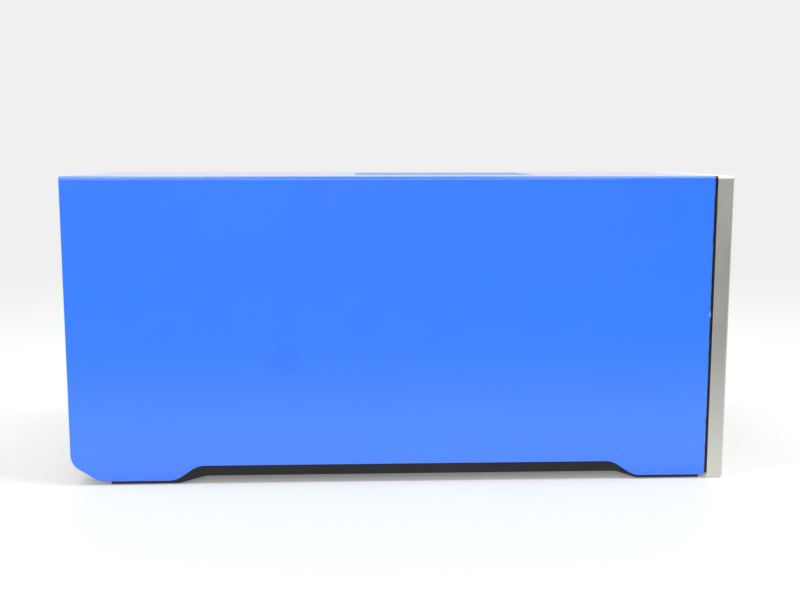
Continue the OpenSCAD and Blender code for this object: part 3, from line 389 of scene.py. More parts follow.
def plated(name, color, roughness):
    """Zinc or nickel plate: faint cloudy spangle and small scratches."""
    p = Paint(name, color, roughness, metallic=1.0)
    spangle = p.cells(260.0)
    scratch = p.noise(1.0, 2.0, p.stretch((90.0, 1900.0, 1400.0)))
    p.colour_from(p.mix(p.span(spangle, 0.1, 0.7), tint(color, 1.02), tint(color, 0.95)))
    p.rough_from(p.noise(80.0, 5.0), 0.3, 0.7, roughness - 0.06, roughness + 0.1)
    p.relief(scratch, 0.000006, 0.0003)
    return p.material


def cast_aluminium():
    """Sand-grained casting with cloudy patches."""
    p = Paint("cast_aluminium", (0.55, 0.56, 0.57), 0.42, metallic=1.0)
    skin = p.noise(900.0, 3.0)
    p.colour_from(p.mix(p.span(p.noise(40.0, 5.0), 0.3, 0.7), tint(p.color, 0.9), p.color))
    p.rough_from(skin, 0.3, 0.7, 0.36, 0.52)
    p.relief(skin, 0.00003, 0.0005)
    return p.material


HOLES_PER_METRE = 197.0
HOLE_SHARE = 0.012


def copper_runs(p):
    """1 on the wandering copper runs, 0 between them."""
    place = p.stretch((200.0, 420.0, 200.0))
    run = p.node("ShaderNodeTexWave", Vector=place, Scale=0.5, Distortion=5.0, Detail=1.0)
    return p.span(run.outputs["Fac"], 0.52, 0.56)


def plated_holes(p):
    """1 on the small round pads that lie on a square grid, in some patches of the board only."""
    x, y, _ = p.axes()
    hole_x = p.maths("PINGPONG", p.maths("MULTIPLY", x, HOLES_PER_METRE), 0.5)
    hole_y = p.maths("PINGPONG", p.maths("MULTIPLY", y, HOLES_PER_METRE), 0.5)
    reach = p.maths("ADD", p.maths("POWER", hole_x, 2.0), p.maths("POWER", hole_y, 2.0))
    patch = p.maths("GREATER_THAN", p.noise(30.0, 2.0), 0.56)
    return p.maths("MULTIPLY", p.maths("LESS_THAN", reach, HOLE_SHARE), patch)


def circuit_board():
    """Solder mask with copper runs seen through it and rows of plated holes."""
    p = Paint("circuit_board", (0.012, 0.085, 0.045), 0.3, coat=0.2)
    copper = copper_runs(p)
    colour = p.mix(copper, p.color, (0.02, 0.15, 0.075))
    p.colour_from(p.mix(plated_holes(p), colour, (0.62, 0.48, 0.2)))
    p.rough_from(p.noise(1.0, 3.0, p.stretch((310.0, 310.0, 310.0))), 0.3, 0.7, 0.25, 0.38)
    p.relief(copper, 0.00003, 0.0002)
    return p.material


def white_plastic():
    """Off-white connector plastic."""
    p = Paint("white_plastic", (0.70, 0.68, 0.60), 0.45)
    p.colour_from(p.mix(p.span(p.noise(120.0, 4.0), 0.3, 0.7), p.color, tint(p.color, 0.9)))
    p.rough_from(p.noise(300.0), 0.3, 0.7, 0.38, 0.52)
    p.relief(p.noise(1500.0, 2.0), 0.00002, 0.0003)
    return p.material


def light_pipe():
    """Clear, faintly green plastic over small lights."""
    p = Paint("light_pipe", (0.55, 0.85, 0.62), 0.2, specular=0.6)
    p.set("Transmission Weight", 0.6)
    p.set("IOR", 1.49)
    p.colour_from(p.mix(p.span(p.noise(900.0), 0.3, 0.7), p.color, tint(p.color, 0.8)))
    p.rough_from(p.noise(700.0), 0.3, 0.7, 0.14, 0.3)
    p.relief(p.noise(1200.0), 0.00001)
    return p.material


def cable_jacket(name, color, pitch):
    """Woven sleeve: two sets of fine slanting threads."""
    p = Paint(name, color, 0.6)
    x, y, z = p.axes()
    slope = p.maths("ADD", x, z)
    one = p.maths("SINE", p.maths("MULTIPLY", p.maths("ADD", slope, y), pitch))
    two = p.maths("SINE", p.maths("MULTIPLY", p.maths("SUBTRACT", slope, y), pitch))
    weave = p.maths("ADD", one, two)
    p.colour_from(p.mix(p.span(weave, -1.5, 1.5), tint(color, 0.5), tint(color, 1.6)))
    p.rough_from(weave, -1.5, 1.5, 0.5, 0.75)
    p.relief(weave, 0.00015)
    return p.material


def jacket(name, color):
    """Smooth plastic wire insulation, a little uneven."""
    p = Paint(name, color, 0.4)
    p.colour_from(p.mix(p.span(p.noise(160.0, 3.0), 0.3, 0.7), tint(color, 0.85), color))
    p.rough_from(p.noise(400.0), 0.3, 0.7, 0.34, 0.5)
    p.relief(p.noise(900.0, 2.0), 0.00002)
    return p.material


def ceramic():
    """The brown and dark bodies of small board parts."""
    p = Paint("ceramic", (0.20, 0.14, 0.09), 0.5)
    p.colour_from(p.mix(p.span(p.noise(90.0, 2.0), 0.42, 0.58), (0.05, 0.045, 0.04), (0.34, 0.24, 0.15)))
    p.rough_from(p.noise(600.0), 0.3, 0.7, 0.4, 0.6)
    p.relief(p.noise(2500.0), 0.00001)
    return p.material


MATERIALS = {
    "blue_paint": blue_paint(),
    "black_paint": black_paint(),
    "black_plastic": black_plastic(),
    "gloss_black": gloss_black(),
    "rubber": rubber(),
    "aluminium": brushed("aluminium", (0.69, 0.685, 0.628), 0.4, "z"),
    "bare_steel": plated("bare_steel", (0.58, 0.59, 0.60), 0.36),
    "screw_steel": plated("screw_steel", (0.66, 0.66, 0.66), 0.28),
    "nickel": plated("nickel", (0.72, 0.71, 0.68), 0.22),
    "heatsink": brushed("heatsink", (0.70, 0.71, 0.73), 0.34, "x"),
    "can_aluminium": brushed("can_aluminium", (0.45, 0.45, 0.5), 0.35, "z"),
    "cast_aluminium": cast_aluminium(),
    "brass": plated("brass", (0.70, 0.50, 0.20), 0.3),
    "contact_brass": plated("contact_brass", (0.80, 0.62, 0.28), 0.22),
    "circuit_board": circuit_board(),
    "white_plastic": white_plastic(),
    "light_pipe": light_pipe(),
    "cable": cable_jacket("cable", (0.02, 0.02, 0.02), 5200.0),
    "wire_red": jacket("wire_red", (0.42, 0.012, 0.01)),
    "wire_yellow": jacket("wire_yellow", (0.62, 0.42, 0.015)),
    "ceramic": ceramic(),
    "ribbon": cable_jacket("ribbon", (0.16, 0.16, 0.17), 4200.0),
}


def dress_cad():
    """Gives every CAD node the material of its slot in the record."""
    for part in frame["record"]["subparts"]:
        o = NODES[part["node"]]
        o.data.materials.clear()
        o.data.materials.append(MATERIALS[part["material_slot"]])


dress_cad()

# ---- Mesh parts ----

SHARP_ANGLE = math.radians(35)
SAME_PLACE = 1e-6
SAME_PLANE = 1e-5


def make_piece(name, bm, materials, body, replaced=()):
    """Turns a bmesh into a finished piece: smooth but for sharp edges, painted, and riding on a body."""
    bmesh.ops.recalc_face_normals(bm, faces=bm.faces)
    mesh = bpy.data.meshes.new(name)
    bm.to_mesh(mesh)
    bm.free()
    for material in materials:
        mesh.materials.append(MATERIALS[material])
    mesh.shade_smooth()
    mesh.set_sharp_from_angle(angle=SHARP_ANGLE)
    o = bpy.data.objects.new(name, mesh)
    bpy.context.scene.collection.objects.link(o)
    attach(o, body)
    if replaced:
        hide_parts(*replaced)


def solids(node):
    """The corners of each separate solid in a CAD node, solid by solid."""
    bm = bmesh.new()
    bm.from_mesh(NODES[node].data)
    bmesh.ops.remove_doubles(bm, verts=bm.verts, dist=SAME_PLACE)
    seen = set()
    groups = []
    for first in bm.verts:
        if first in seen:
            continue
        seen.add(first)
        waiting = [first]
        group = []
        while waiting:
            v = waiting.pop()
            group.append(v.co.copy())
            fresh = [e.other_vert(v) for e in v.link_edges if e.other_vert(v) not in seen]
            seen.update(fresh)
            waiting += fresh
        groups.append(group)
    bm.free()
    return groups


def corners_box(group):
    """The lowest and highest corner of a group of places."""
    low = Vector([min(v[i] for v in group) for i in range(3)])
    high = Vector([max(v[i] for v in group) for i in range(3)])
    return low, high


def join_rings(bm, one, two):
    """Faces between two closed rings that have as many corners each."""
    n = len(one)
    for i in range(n):
        bm.faces.new((one[i], one[(i + 1) % n], two[(i + 1) % n], two[i]))


def full_turn(steps):
    """Evenly spaced angles once round."""
    return [2 * math.pi * i / steps for i in range(steps)]


LATHE_STEPS = 20


def lathe(bm, profile, matrix):
    """Turns (radius, height) points round Z. Returns the last ring, which is left open."""
    rings = []
    for r, z in profile:
        circle = [Vector((r * math.cos(a), r * math.sin(a), z)) for a in full_turn(LATHE_STEPS)]
        rings.append([bm.verts.new(matrix @ p) for p in circle])
    for one, two in zip(rings, rings[1:]):
        join_rings(bm, one, two)
    bm.faces.new(rings[0])
    return rings[-1]


def loop_edges(bm, ring):
    """The edges round a ring of vertices, made where there are none yet."""
    return [bm.edges.get((a, b)) or bm.edges.new((a, b)) for a, b in zip(ring, ring[1:] + ring[:1])]


def cross_outline(arm, half):
    """Twelve corners of a cross whose arms are arm long and 2 * half wide."""
    quarter = [(arm, -half), (arm, half), (half, half)]
    outline = []
    for k in range(4):
        turn = Matrix.Rotation(k * math.pi / 2, 2)
        outline += [tuple(turn @ Vector(c)) for c in quarter]
    return outline


THREAD_PITCH = 0.0006
# A screw's outline: its point, thread root and neck as shares of the shank's radius, and its head, from the
# seat up, as shares of the head's radius and height.
POINT_R = 0.7
ROOT_R = 0.84
NECK_R = 0.9
HEAD_OUTLINE = [(0.98, 0.0), (1.0, 0.1), (1.0, 0.35), (0.95, 0.66), (0.84, 0.88), (0.68, 1.0)]
# The cross slot: its arms as shares of the head's radius, and its floor as a share of the head's height.
CROSS_ARM = 0.5
CROSS_HALF = 0.12
CROSS_FLOOR = 0.4


def screw_shape(bm, seat, axis, head_r, head_h, shank_r, shank_l):
    """A screw with a domed, cross-slotted head that stands on its seat, and a threaded shank below."""
    matrix = Matrix.Translation(seat) @ axis.to_track_quat("Z", "Y").to_matrix().to_4x4()
    profile = [(shank_r * POINT_R, -shank_l)]
    for i in range(max(1, int(shank_l / THREAD_PITCH))):
        low = -shank_l + i * THREAD_PITCH
        profile += [(shank_r, low + THREAD_PITCH * 0.4), (shank_r * ROOT_R, low + THREAD_PITCH * 0.9)]
    profile.append((shank_r * NECK_R, 0.0))
    profile += [(head_r * r, head_h * h) for r, h in HEAD_OUTLINE]
    rim = lathe(bm, profile, matrix)
    outline = cross_outline(head_r * CROSS_ARM, head_r * CROSS_HALF)
    mouth = [bm.verts.new(matrix @ Vector((x, y, head_h))) for x, y in outline]
    pit = [bm.verts.new(matrix @ Vector((x * 0.72, y * 0.8, head_h * CROSS_FLOOR))) for x, y in outline]
    edges = loop_edges(bm, rim) + loop_edges(bm, mouth)
    bmesh.ops.triangle_fill(bm, use_beauty=True, edges=edges)
    join_rings(bm, mouth, pit)
    bm.faces.new(pit)


def plain_screw(group, k):
    """Reads a plain CAD screw along axis k.

    Returns its seat and direction, its head's radius and height, and its shank's radius and length.
    """
    low, high = corners_box(group)
    middle = (low + high) / 2

    def reach(v):
        return math.hypot(*[v[i] - middle[i] for i in range(3) if i != k])

    head_r = max(reach(v) for v in group)
    head = [v[k] for v in group if reach(v) > head_r * 0.98]
    at_top = high[k] - max(head) < min(head) - low[k]
    tip = low[k] if at_top else high[k]
    shank_r = max(reach(v) for v in group if abs(v[k] - tip) < SAME_PLANE)
    seat = middle.copy()
    seat[k] = min(head) if at_top else max(head)
    axis = Vector((0, 0, 0))
    axis[k] = 1 if at_top else -1
    return seat, axis, head_r, max(head) - min(head), shank_r, abs(seat[k] - tip)


def dress_screws(node, along, body):
    """Makes real screws in place of a CAD node's plain ones, each of the same size and in the same place."""
    bm = bmesh.new()
    for group in solids(node):
        screw_shape(bm, *plain_screw(group, "xyz".index(along)))
    make_piece(node + "_cross_slot", bm, ["screw_steel"], body, [node])


def paint_faces(bm, start, finish):
    """Gives the faces that were made last, from number start on, one of the piece's materials."""
    bm.faces.ensure_lookup_table()
    for f in bm.faces[start:]:
        f.material_index = finish


def block(bm, low, high, chamfer=0.0, finish=0, place=Matrix.Identity(4)):
    """A block whose upper edges are cut off by the chamfer, set down by the place matrix."""
    x0, y0, z0 = low
    x1, y1, z1 = high
    rings = []
    for inset, z in [(0.0, z0), (0.0, z1 - chamfer), (chamfer, z1)]:
        corners = [(x0 + inset, y0 + inset), (x1 - inset, y0 + inset),
                   (x1 - inset, y1 - inset), (x0 + inset, y1 - inset)]
        rings.append([bm.verts.new(place @ Vector((x, y, z))) for x, y in corners])
    start = len(bm.faces)
    join_rings(bm, rings[0], rings[1])
    join_rings(bm, rings[1], rings[2])
    bm.faces.new(rings[0])
    bm.faces.new(rings[2])
    paint_faces(bm, start, finish)


def tube(bm, path, radius, sides, finish=0):
    """A round wire along a path."""
    rings = []
    up = Vector((0, 1, 0))
    for i, point in enumerate(path):
        ahead = (path[min(i + 1, len(path) - 1)] - path[max(i - 1, 0)]).normalized()
        across = ahead.cross(up).normalized()
        over = across.cross(ahead)
        around = [(across * math.cos(a) + over * math.sin(a)) * radius for a in full_turn(sides)]
        rings.append([bm.verts.new(point + offset) for offset in around])
    start = len(bm.faces)
    for one, two in zip(rings, rings[1:]):
        join_rings(bm, one, two)
    bm.faces.new(rings[0])
    bm.faces.new(rings[-1])
    paint_faces(bm, start, finish)


SOFTEN_ROUNDS = 3


def soften(points):
    """Rounds a path's corners by cutting them again and again. The ends stay."""
    for _ in range(SOFTEN_ROUNDS):
        cut = [points[0]]
        for a, b in zip(points, points[1:]):
            cut += [a.lerp(b, 0.25), a.lerp(b, 0.75)]
        points = cut + [points[-1]]
    return points


# ---- Screws ----

dress_screws("cover_screws", "x", "cover")
dress_screws("psu_screws", "x", "chassis")
dress_screws("front_fan_screws", "x", "chassis")
dress_screws("drive_screws", "y", "chassis")
dress_screws("board_screws", "z", "chassis")

# ---- Wiring ----

MM = 0.001
WIRE_SIDES = 8
WIRE_SWAY = 0.0004
SWAY_ALONG = 1.3
SWAY_ACROSS = 2.1
WIRE_R = 0.8 * MM
LAYER_OFFSET = 0.9 * MM
RIBBON_WIRE_R = 0.62 * MM
PSU_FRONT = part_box("psu_case")[1].x
WIRES_OUT_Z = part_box("main_power_cable")[1].z - 1.8 * MM
BOARD_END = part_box("main_board")[1].x
BOARD_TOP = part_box("main_board")[1].z
DRIVE_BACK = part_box("upper_drive")[0].x


def wire_row(bm, route, low_y, width, count, radius, finishes, lift=0.0):
    """A row of wires side by side along one route in XZ, over the given width in Y. Each sways a little."""
    pitch = (width - 2 * radius) / (count - 1)
    for i in range(count):
        y = low_y + radius + i * pitch
        sway = [WIRE_SWAY * math.sin(k * SWAY_ALONG + i * SWAY_ACROSS) for k in range(len(route))]
        path = [Vector((x, y, z + lift + sway[k])) for k, (x, z) in enumerate(route)]
        path[0].z -= sway[0]
        path[-1].z -= sway[-1]
        tube(bm, soften(path), radius, WIRE_SIDES, finishes[i % len(finishes)])


def main_power_loom():
    """Two layers of wires from the power supply to the main board, along the plain cable's route."""
    low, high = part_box("main_power_cable")
    drop_x = low.x + 1.8 * MM
    route = [
        (PSU_FRONT - 0.5 * MM, WIRES_OUT_Z), (PSU_FRONT + 18 * MM, WIRES_OUT_Z),
        (PSU_FRONT + 32 * MM, WIRES_OUT_Z - 10 * MM), (PSU_FRONT + 36 * MM, WIRES_OUT_Z - 32 * MM),
        (BOARD_END - 10 * MM, BOARD_TOP + 50 * MM), (BOARD_END - 28 * MM, BOARD_TOP + 40 * MM),
        (drop_x + 4 * MM, BOARD_TOP + 30 * MM), (drop_x, BOARD_TOP + 20 * MM), (drop_x, BOARD_TOP + 11 * MM),
    ]
    bm = bmesh.new()
    for lift in (-LAYER_OFFSET, LAYER_OFFSET):
        wire_row(bm, route, low.y, high.y - low.y, 7, WIRE_R, [0, 1, 0, 2, 0], lift)
    make_piece("main_power_loom", bm, ["cable", "wire_red", "wire_yellow"],
               "chassis", ["main_power_cable"])


def drive_loom():
    """Wires from the power supply to both drives, along the plain cable's two branches."""
    low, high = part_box("drive_cable")
    plug_z = high.z - 0.9 * MM
    lower_plug_z = plug_z - (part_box("upper_drive")[0].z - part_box("lower_drive")[0].z)
    fork = (DRIVE_BACK - 44 * MM, plug_z - 15 * MM)
    start = [(PSU_FRONT - 0.5 * MM, WIRES_OUT_Z), (PSU_FRONT + 20 * MM, WIRES_OUT_Z + 2 * MM), fork]
    bm = bmesh.new()
    for z in (plug_z, lower_plug_z):
        route = start + [(DRIVE_BACK - 18 * MM, z), (DRIVE_BACK + 8 * MM, z)]
        wire_row(bm, route, low.y, high.y - low.y, 5, WIRE_R, [2, 0, 1, 0, 2])
    make_piece("drive_loom", bm, ["cable", "wire_red", "wire_yellow"], "chassis", ["drive_cable"])


def front_panel_loom():
    """A ribbon of thin wires from the front board to the main board's pin header."""
    low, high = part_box("front_panel_cable")
    io_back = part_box("front_io_board")[0].x
    io_top = high.z - 0.8 * MM
    under_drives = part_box("lower_drive")[0].z - 1 * MM
    route = [
        (io_back + 12 * MM, io_top), (io_back - 2 * MM, io_top), (io_back - 3 * MM, io_top - 2.8 * MM),
        (io_back - 3 * MM, under_drives), (io_back - 12 * MM, under_drives - 12 * MM),
        (DRIVE_BACK + 20 * MM, under_drives - 22 * MM), (DRIVE_BACK - 40 * MM, under_drives - 60 * MM),
        (BOARD_END - 2 * MM, BOARD_TOP + 30 * MM), (BOARD_END - 9 * MM, BOARD_TOP + 16 * MM),
        (BOARD_END - 9 * MM, BOARD_TOP),
    ]
    bm = bmesh.new()
    wire_row(bm, route, low.y, high.y - low.y, 10, RIBBON_WIRE_R, [0, 0, 0, 0, 1])
    make_piece("front_panel_loom", bm, ["ribbon", "wire_red"], "chassis", ["front_panel_cable"])


main_power_loom()
drive_loom()
front_panel_loom()

# ---- Sockets ----

# How far a dressed tongue stands out over the plain one in the CAD.
SKIN = 0.00015
USB_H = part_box("front_usb_ports")[1].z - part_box("front_usb_ports")[0].z
USB_INSET = 0.0016
USB_TONGUE_T = 0.0016
USB_ROOT = 0.0045
USB_MOUTH = 0.002
USB_CONTACTS = 4
DISPLAY_CONTACTS = 9
CONTACT_NEAR = 0.0006
CONTACT_FAR = 0.005
NETWORK_CONTACTS = 8
NETWORK_PITCH = 0.00102
NETWORK_WIRE_R = 0.0002
NETWORK_WIRE_SIDES = 6
LIGHT_HALF = 0.0013


def tongue(bm, low, high, contacts, front):
    """Covers a socket's plain tongue but for its root, with flat contacts under its front or its back end."""
    x0, x1 = (low[0], high[0] + SKIN) if front else (low[0] - SKIN, high[0])
    y0, y1 = low[1] - SKIN, high[1] + SKIN
    z0, z1 = low[2] - SKIN, high[2] + SKIN
    block(bm, (x0, y0, z0), (x1, y1, z1), 0.0002, 0)
    pitch = (y1 - y0) / contacts
    ends = (x1 - CONTACT_FAR, x1 - CONTACT_NEAR) if front else (x0 + CONTACT_NEAR, x0 + CONTACT_FAR)
    for i in range(contacts):
        y = y0 + (i + 0.5) * pitch
        block(bm, (ends[0], y - pitch / 4, z0 - 0.00012), (ends[1], y + pitch / 4, z0 + 0.0001), 0.0, 1)


def usb_tongue(bm, x_ends, y_ends, top, front):
    """The tongue of a USB socket, between its ends along X, and inset from the socket's sides and top."""
    low = (x_ends[0], y_ends[0] + USB_INSET, top - USB_INSET - USB_TONGUE_T)
    high = (x_ends[1], y_ends[1] - USB_INSET, top - USB_INSET)
    tongue(bm, low, high, USB_CONTACTS, front)


def socket_tongues():
    """Tongues for the USB sockets at the front and the back, and for the display port."""
    bm = bmesh.new()
    for group in solids("front_usb_ports"):
        low, high = corners_box(group)
        usb_tongue(bm, (low.x + USB_ROOT, high.x - USB_MOUTH), (low.y, high.y), high.z, True)
    for group in solids("usb_port_stacks"):
        low, high = corners_box(group)
        for top in (low.z + USB_H, high.z):
            usb_tongue(bm, (low.x + USB_MOUTH, high.x - USB_ROOT), (low.y, high.y), top, False)
    low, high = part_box("display_port")
    tongue(bm, (low.x + 0.0015, low.y + 0.0024, low.z + 0.0026),
           (low.x + 0.0085, high.y - 0.0024, low.z + 0.0038), DISPLAY_CONTACTS, False)
    make_piece("socket_tongues", bm, ["black_plastic", "contact_brass"], "chassis")


def network_contacts():
    """The sprung wires in the network socket, which slope down towards its mouth."""
    bm = bmesh.new()
    low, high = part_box("network_port")
    middle = (low.y + high.y) / 2
    slope = [(0.0135, 0.0062), (0.005, 0.0036), (0.0032, 0.0027)]
    for i in range(NETWORK_CONTACTS):
        y = middle + (i - (NETWORK_CONTACTS - 1) / 2) * NETWORK_PITCH
        path = [Vector((low.x + x, y, low.z + z)) for x, z in slope]
        tube(bm, path, NETWORK_WIRE_R, NETWORK_WIRE_SIDES)
    make_piece("network_contacts", bm, ["contact_brass"], "chassis")


def network_lights():
    """The two small lights in the upper corners of the network socket."""
    bm = bmesh.new()
    low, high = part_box("network_port")
    for side in (-1, 1):
        y = (low.y + high.y) / 2 + side * 0.0056
        block(bm, (low.x - 0.00012, y - LIGHT_HALF, high.z - 0.0027),
              (low.x + 0.0003, y + LIGHT_HALF, high.z - 0.0008))
    make_piece("network_lights", bm, ["light_pipe"], "chassis")


socket_tongues()
network_contacts()
network_lights()

# ---- Dust filter ----

NET_PITCH = 0.0009
NET_THREAD = 0.0004
NET_RIM = 0.0047
NET_DEPTH = 0.0007
NET_CROSSING = 0.9


def make_filter_net():
    """The dust filter's net: fine threads both ways, whose ends are held in the filter's frame."""
    bm = bmesh.new()
    low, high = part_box("dust_filter")
    half = NET_THREAD / 2
    x = high.x - NET_DEPTH
    behind = x - half * NET_CROSSING
    y0, y1 = low.y + NET_RIM, high.y - NET_RIM
    z0, z1 = low.z + NET_RIM, high.z - NET_RIM
    count = int((y1 - y0 - NET_THREAD) / NET_PITCH)
    for i in range(count + 1):
        y = y0 + half + (y1 - y0 - NET_THREAD) * i / count
        z = z0 + half + (z1 - z0 - NET_THREAD) * i / count
        block(bm, (x - half, y - half, z0), (x + half, y + half, z1))
        block(bm, (behind - half, y0, z - half), (behind + half, y1, z + half))
    make_piece("filter_net", bm, ["black_plastic"], "chassis")


make_filter_net()

# ---- Memory modules ----

MODULE_CHIPS = 8
MODULE_T = 0.0013
MODULE_MARGIN = 0.003
FINGER_PITCH = 0.0013
FINGER_HALF = 0.0004
FINGER_H = 0.004
FINGER_MARGIN = 0.004
CHIP_RISE = 0.003
SUNK = 0.00002


def gilt_fingers(bm, middle, low, high):
    """The row of gilt contacts along a module's lower edge, just proud of both its faces."""
    half = MODULE_T / 2 + 0.00005
    for i in range(int((high.y - low.y - 2 * FINGER_MARGIN) / FINGER_PITCH)):
        y = low.y + FINGER_MARGIN + (i + 0.5) * FINGER_PITCH
        block(bm, (middle - half, y - FINGER_HALF, low.z), (middle + half, y + FINGER_HALF, low.z + FINGER_H),
              0.0, 2)


def memory_chip(bm, deep, face):
    """A chip of the given depth on a module's face, with three small parts beside it."""
    block(bm, (-0.0055, -0.0045, -SUNK), (0.0055, 0.0045, deep), 0.0002, 1, face)
    for y in (-0.003, 0.0, 0.003):
        block(bm, (-0.0085, y - 0.0004, -SUNK), (-0.0069, y + 0.0004, 0.0005), 0.0001, 3, face)


def make_modules():
    """Memory modules: a thin board with a gilt lower edge and rows of chips on both faces."""
    bm = bmesh.new()
    half = MODULE_T / 2
    for group in solids("memory_modules"):
        low, high = corners_box(group)
        middle = (low.x + high.x) / 2
        block(bm, (middle - half, low.y, low.z), (middle + half, high.y, high.z), 0.0001, 0)
        gilt_fingers(bm, middle, low, high)
        pitch = (high.y - low.y - 2 * MODULE_MARGIN) / MODULE_CHIPS
        deep = (high.x - low.x) / 2 - half
        z = (low.z + high.z) / 2 + CHIP_RISE
        for i in range(MODULE_CHIPS):
            y = low.y + MODULE_MARGIN + (i + 0.5) * pitch
            for side in (-1, 1):
                place = Matrix.Translation((middle + side * half, y, z))
                memory_chip(bm, deep, place @ Matrix.Rotation(side * math.pi / 2, 4, "Y"))
    make_piece("memory_boards", bm, ["circuit_board", "black_plastic", "contact_brass", "ceramic"],
               "chassis", ["memory_modules"])


make_modules()

# ---- The main board's small parts ----

# Sizes in metres: lists of chips and of (length, width, height), margins, and how often a place is drawn.
BOARD_SEED = 11
BOARD_LOW, BOARD_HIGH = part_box("main_board")
BOARD_MARGIN = 0.003
PART_SPACE = 0.0008
STANDING_ON_BOARD = [
    "processor_socket", "processor_heatsink", "memory_sockets", "chipset_heatsink", "board_power_sockets",
    "pin_header", "board_capacitors", "board_chokes", "coin_cell", "usb_port_stacks", "network_port",
    "display_port", "audio_jacks", "board_screws",
]
CHIP_HALVES = [0.006, 0.0045, 0.0045, 0.0035, 0.0035, 0.003, 0.003, 0.0025, 0.0025]
CHIP_H = 0.0011
CHIP_TRIES = 400
LEG_PITCH = 0.0011
LEG_MARGIN = 0.0007
LEG_REACH = 0.0004
LEG_HALF_WIDE = 0.0002
LEG_HALF_LONG = 0.0006
SMALL_PART_TRIES = 150
SMALL_PART_ROWS = [1, 1, 2, 3, 4]
SMALL_PART_SIZES = [(0.0016, 0.0008, 0.0005), (0.0010, 0.0005, 0.0004), (0.0020, 0.00125, 0.0009)]
SOLDER = 0.00004


class FreeBoard:
    """The board's upper face, with the places on it that are taken."""

    def __init__(self):
        self.taken = [corners_box(g) for node in STANDING_ON_BOARD for g in solids(node)]

    def free(self, x, y, rx, ry):
        """Whether a part that reaches rx and ry from (x, y) lies on the board and clear of all others."""
        if not BOARD_LOW.x + BOARD_MARGIN + rx < x < BOARD_HIGH.x - BOARD_MARGIN - rx:
            return False
        if not BOARD_LOW.y + BOARD_MARGIN + ry < y < BOARD_HIGH.y - BOARD_MARGIN - ry:
            return False
        for a, b in self.taken:
            beside_x = x + rx < a.x - PART_SPACE or x - rx > b.x + PART_SPACE
            beside_y = y + ry < a.y - PART_SPACE or y - ry > b.y + PART_SPACE
            if not (beside_x or beside_y):
                return False
        return True

    def take(self, x, y, rx, ry):
        """Keeps later parts off this one."""
        self.taken.append((Vector((x - rx, y - ry, 0)), Vector((x + rx, y + ry, 0))))


def small_part(bm, low, high):
    """A resistor or capacitor: a body between two tinned ends."""
    x0, y0, z0 = low
    x1, y1, z1 = high
    cap = (x1 - x0) * 0.22
    block(bm, (x0 + cap, y0, z0), (x1 - cap, y1, z1), 0.00006, 0)
    for start, end in [(x0, x0 + cap), (x1 - cap, x1)]:
        block(bm, (start, y0 - SOLDER, z0), (end, y1 + SOLDER, z1 + SOLDER), 0.00008, 1)


def chip(bm, x, y, half):
    """A flat square chip with a row of short legs along each side."""
    z = BOARD_HIGH.z
    block(bm, (x - half, y - half, z + 0.0002), (x + half, y + half, z + CHIP_H), 0.0002, 2)
    reach = half + LEG_REACH
    for i in range(int(half * 2 / LEG_PITCH)):
        at = -half + LEG_MARGIN + i * LEG_PITCH
        for sx, sy in [(1, 0), (-1, 0), (0, 1), (0, -1)]:
            cx = x + sx * reach + (at if sy else 0)
            cy = y + sy * reach + (at if sx else 0)
            hx = LEG_HALF_LONG if sx else LEG_HALF_WIDE
            hy = LEG_HALF_LONG if sy else LEG_HALF_WIDE
            block(bm, (cx - hx, cy - hy, z), (cx + hx, cy + hy, z + 0.0003), 0.0001, 1)


def scatter_chips(bm, rng, board):
    """One chip of each size, at the first free place that is drawn for it."""
    for half in CHIP_HALVES:
        room = half + 0.001
        for _ in range(CHIP_TRIES):
            x = rng.uniform(BOARD_LOW.x, BOARD_HIGH.x)
            y = rng.uniform(BOARD_LOW.y, BOARD_HIGH.y)
            if board.free(x, y, room, room):
                chip(bm, x, y, half)
                board.take(x, y, room, room)
                break


def scatter_small_parts(bm, rng, board):
    """Short rows of resistors and capacitors, on a grid of whole millimetres."""
    z = BOARD_HIGH.z
    for _ in range(SMALL_PART_TRIES):
        x = round(rng.uniform(BOARD_LOW.x, BOARD_HIGH.x), 3)
        y = round(rng.uniform(BOARD_LOW.y, BOARD_HIGH.y), 3)
        count = rng.choice(SMALL_PART_ROWS)
        long, wide, tall = rng.choice(SMALL_PART_SIZES)
        gap = wide * 1.7
        row = (x, y + gap * (count - 1) / 2, long, gap * count / 2)
        if board.free(*row):
            for i in range(count):
                at = y + i * gap
                small_part(bm, (x - long / 2, at - wide / 2, z), (x + long / 2, at + wide / 2, z + tall))
            board.take(*row)


def dress_board():
    """Resistors, capacitors and chips, scattered over the free parts of the board."""
    rng = random.Random(BOARD_SEED)
    board = FreeBoard()
    bm = bmesh.new()
    scatter_chips(bm, rng, board)
    scatter_small_parts(bm, rng, board)
    make_piece("board_surface_parts", bm, ["ceramic", "screw_steel", "black_plastic"],
               "chassis")


dress_board()

# ---- Stage and light ----

# Levels of grey, and the pairs of distances or directions between which one runs over into the next.
BACKGROUND = 0.87
DARK_SIDE = 0.23
TABLE_HALF = 12.0
TABLE_LIFT = 0.18
GLOSSY_TABLE_LIFT = 0.7
FLOOR_FADE = (0.5, 1.5)
TABLE_EDGE = (0.15, 0.58)
SIDE_TURN = (-0.55, -0.9)
ROOM_LIGHT = (0.46, 0.465, 0.47, 1)


def ray_kinds(tree):
    """Two sockets: 1 for camera rays, and 1 for glossy and transmission rays."""
    path = tree.nodes.new("ShaderNodeLightPath")
    either = tree.nodes.new("ShaderNodeMath")
    either.operation = "MAXIMUM"
    tree.links.new(path.outputs["Is Glossy Ray"], either.inputs[0])
    tree.links.new(path.outputs["Is Transmission Ray"], either.inputs[1])
    return path.outputs["Is Camera Ray"], either.outputs[0]


def glow(tree, level):
    """A grey that shines by itself at the given level."""
    made = tree.nodes.new("ShaderNodeEmission")
    made.inputs["Color"].default_value = (level, level, level, 1)
    return made.outputs[0]


